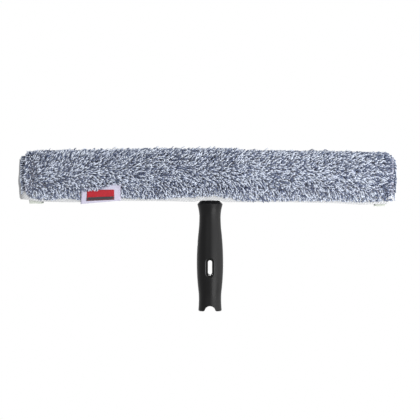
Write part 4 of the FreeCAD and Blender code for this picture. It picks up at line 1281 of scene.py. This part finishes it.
# %% [markdown]
# Tufts are sheared shorter at the rounded ends and along the lower edges. So a yarn is shortened
# until its tip is inside the rounding and above the edge, each with a slack of its own, because
# shears leave an uneven line.

# %% Shears
END_ROUND = {-1: {"run": 18.0 * MM, "drop": 13.0 * MM}, 1: {"run": 16.0 * MM, "drop": 26.0 * MM}}
END_UNEVEN = {-1: 0.0, 1: 0.6}
ROUND_SIDES = 0.3
LOW_END_SHORT = 1.4 * MM
CORNER_TIPS = {"x": 223.4 * MM, "z": 145.0 * MM}
SHOWN_PLACES = MM * np.array([-220, -215, -186, -181, -166, -160, -107, -85,
                              -55, -40, 26, 36, 95, 130, 214, 217])
HEM_SHOWN = MM * np.array([6.0, 2.2, 2.2, 4.8, 4.8, 2.4, 4.0, 2.6,
                           2.8, 5.0, 5.6, -0.2, 0.4, 2.4, 3.8, 1.4])
REAR_TIPS = 144.6 * MM
UNEVEN = 1.0 * MM
SHEAR_CUTS = 14
CUT_KEEPS = 0.93


def beyond_shears(tips, slack):
    """True where a tip is outside the pile's rounded ends or below its lower edges by more than a slack."""
    x, y, z = tips.T
    off = np.hypot(y, z - np.clip(z, haunch, shoulder))
    full = cloth_face + (pile_face - cloth_face) * between(x, WORN_PLACES, WORN)
    rounding = ROUND_SIDES + (1 - ROUND_SIDES) * ease((z - shoulder) / cloth_face)
    outside = z < np.where(y > 0, REAR_TIPS, hem_low.z + np.interp(x, SHOWN_PLACES, HEM_SHOWN) - slack)
    for way, end in ((-1, left_tips), (1, right_tips)):
        beyond = np.clip(way * (x - end) / END_ROUND[way]["run"] + 1, 0, 1)
        dropped = rounding * END_ROUND[way]["drop"] * (1 - np.sqrt(1 - beyond ** 2))
        outside |= (beyond > 0) & (z > haunch) & (off > full + slack - dropped)
        outside |= way * (x - end) > np.where(z < haunch, -LOW_END_SHORT, END_UNEVEN[way] * slack)
    return outside | ((x > CORNER_TIPS["x"]) & (z < CORNER_TIPS["z"]))


def sheared(lines, rng):
    """Yarns shortened until their tips are within the shears, each a little uneven."""
    root, tip = lines[:, 0], lines[:, -1]
    keep = np.ones(len(lines))
    slack = rng.normal(0, UNEVEN, len(lines))
    for _ in range(SHEAR_CUTS):
        keep = np.where(beyond_shears(root + keep[:, None] * (tip - root), slack), keep * CUT_KEEPS, keep)
    return root[:, None, :] + keep[:, None, None] * (lines - root[:, None, :])


print("cuts of the shears at most:", SHEAR_CUTS)

# %% [markdown]
# Yarns are left out where something else is: in front of the label, apart from a wavy fringe over its
# top, where the flaps swing at the rear edge, and round the binding at the left.

# %% Yarns that are kept
LONGEST = 1.4 * UNEVEN
LABEL_COVER = {"tall": 2.6 * MM, "least": 1.1, "mean": 1.2}
COVER_WAVE = {"long": 4 * MM, "high": 0.9}
LABEL_CLEAR = {"side": 0.3 * MM, "front": 0.6 * MM}
SWING_TOP = 143.8 * MM
BINDING_CLEAR = 0.5 * MM


def kept(lines):
    """Which yarns are short enough, and clear of label, flaps and binding."""
    x, y, z = lines[..., 0], lines[..., 1], lines[..., 2]
    wavy = LABEL_COVER["mean"] + ripple(lines, COVER_WAVE, seed=33, along=(1, 0, 0))
    cover = LABEL_COVER["tall"] * np.maximum(LABEL_COVER["least"], wavy)
    on_label = (x > label_low.x - LABEL_CLEAR["side"]) & (x < label_right + LABEL_CLEAR["side"])
    on_label &= z < label_high.z + label_askew(x, label_high.z) - cover
    on_label &= y < label_depth(z) + LABEL_CLEAR["front"]
    in_swing = (y > 0) & (z < SWING_TOP)
    in_binding = (x < binding_high.x) & (np.abs(y) < binding_high.y + BINDING_CLEAR)
    too_long = beyond_shears(lines[:, -1], LONGEST) & (z[:, -1] < haunch)
    return ~((on_label | in_swing | in_binding).any(axis=1) | too_long)


print("yarns behind are kept above", SWING_TOP / MM, "mm, where the flaps swing")

# %% [markdown]
# The two colours take turns from tuft to tuft, as two cones of yarn do on a tufting machine;
# some turns are swapped, so that no grid shows. Towards the right end more of them are dark, as
# painted shade on the end that the lamps light most, apart from the lowest corner there, which is
# mostly pale.

# %% Two colours of yarn
SWAPPED = {"dark": 0.3, "pale": 0.17}
RIGHT_PAINTED_SHADE = {"more": 0.24, "from": 195 * MM, "run": 20 * MM}
PALE_CORNER = {"x": 216 * MM, "dark": 0.3}
YARN_RADIUS = 0.64 * MM
YARN_THICK = (0.8, 1.2)
YARN_TAPER = np.array([0.8, 1.0, 1.05, 0.95, 0.55])


def pile_piece(name, lines, dark_turn, replaced, rng, seed):
    """The yarns of one region, as a pale and a dark piece."""
    # Painted shade: more dark yarn towards the right end, to darken the side that the lamps light most.
    near_right = ease((lines[:, 0, 0] - RIGHT_PAINTED_SHADE["from"]) / RIGHT_PAINTED_SHADE["run"])
    swap_share = np.where(dark_turn, SWAPPED["dark"] * (1 - near_right),
                          SWAPPED["pale"] + RIGHT_PAINTED_SHADE["more"] * near_right)
    dark = dark_turn ^ (rng.random(len(lines)) < swap_share)
    lines = sheared(lines, rng)
    in_corner = (lines[:, -1, 0] > PALE_CORNER["x"]) & (lines[:, -1, 2] < CORNER_TIPS["z"])
    dark &= ~in_corner | (rng.random(len(dark)) < PALE_CORNER["dark"])
    clear = kept(lines)
    lines = sag(lines)
    for colour, material, chosen in (("pale", pale_yarn, ~dark & clear), ("navy", navy_yarn, dark & clear)):
        picked = lines[chosen]
        radii = rng.uniform(*YARN_THICK, (len(picked), 1)) * YARN_RADIUS * YARN_TAPER
        mesh = tube_mesh(f"{name}_{colour}", picked, radii, rng.random(len(picked)), sides=3, seed=seed)
        add_piece(f"{name}_{colour}", mesh, material, "scrubber", replaced)
        print(f"{name}_{colour}: {len(picked)} yarns")


root_y, root_z = strands[:, 0, 1], strands[:, 0, 2]
on_top = root_z > shoulder
regions = {"pile_front": ~on_top & (root_y < 0), "pile_top": on_top, "pile_rear": ~on_top & (root_y > 0)}
for seed, (name, chosen) in enumerate(regions.items(), start=40):
    pile_piece(name, strands[chosen], dark_turn[chosen], ["pile_cover"], rng, seed)
for seed, (side, (lines, dark)) in enumerate(end_strands.items(), start=50):
    pile_piece(f"{side}_end_tufts", lines, dark, [f"{side}_end_pile"], rng, seed)
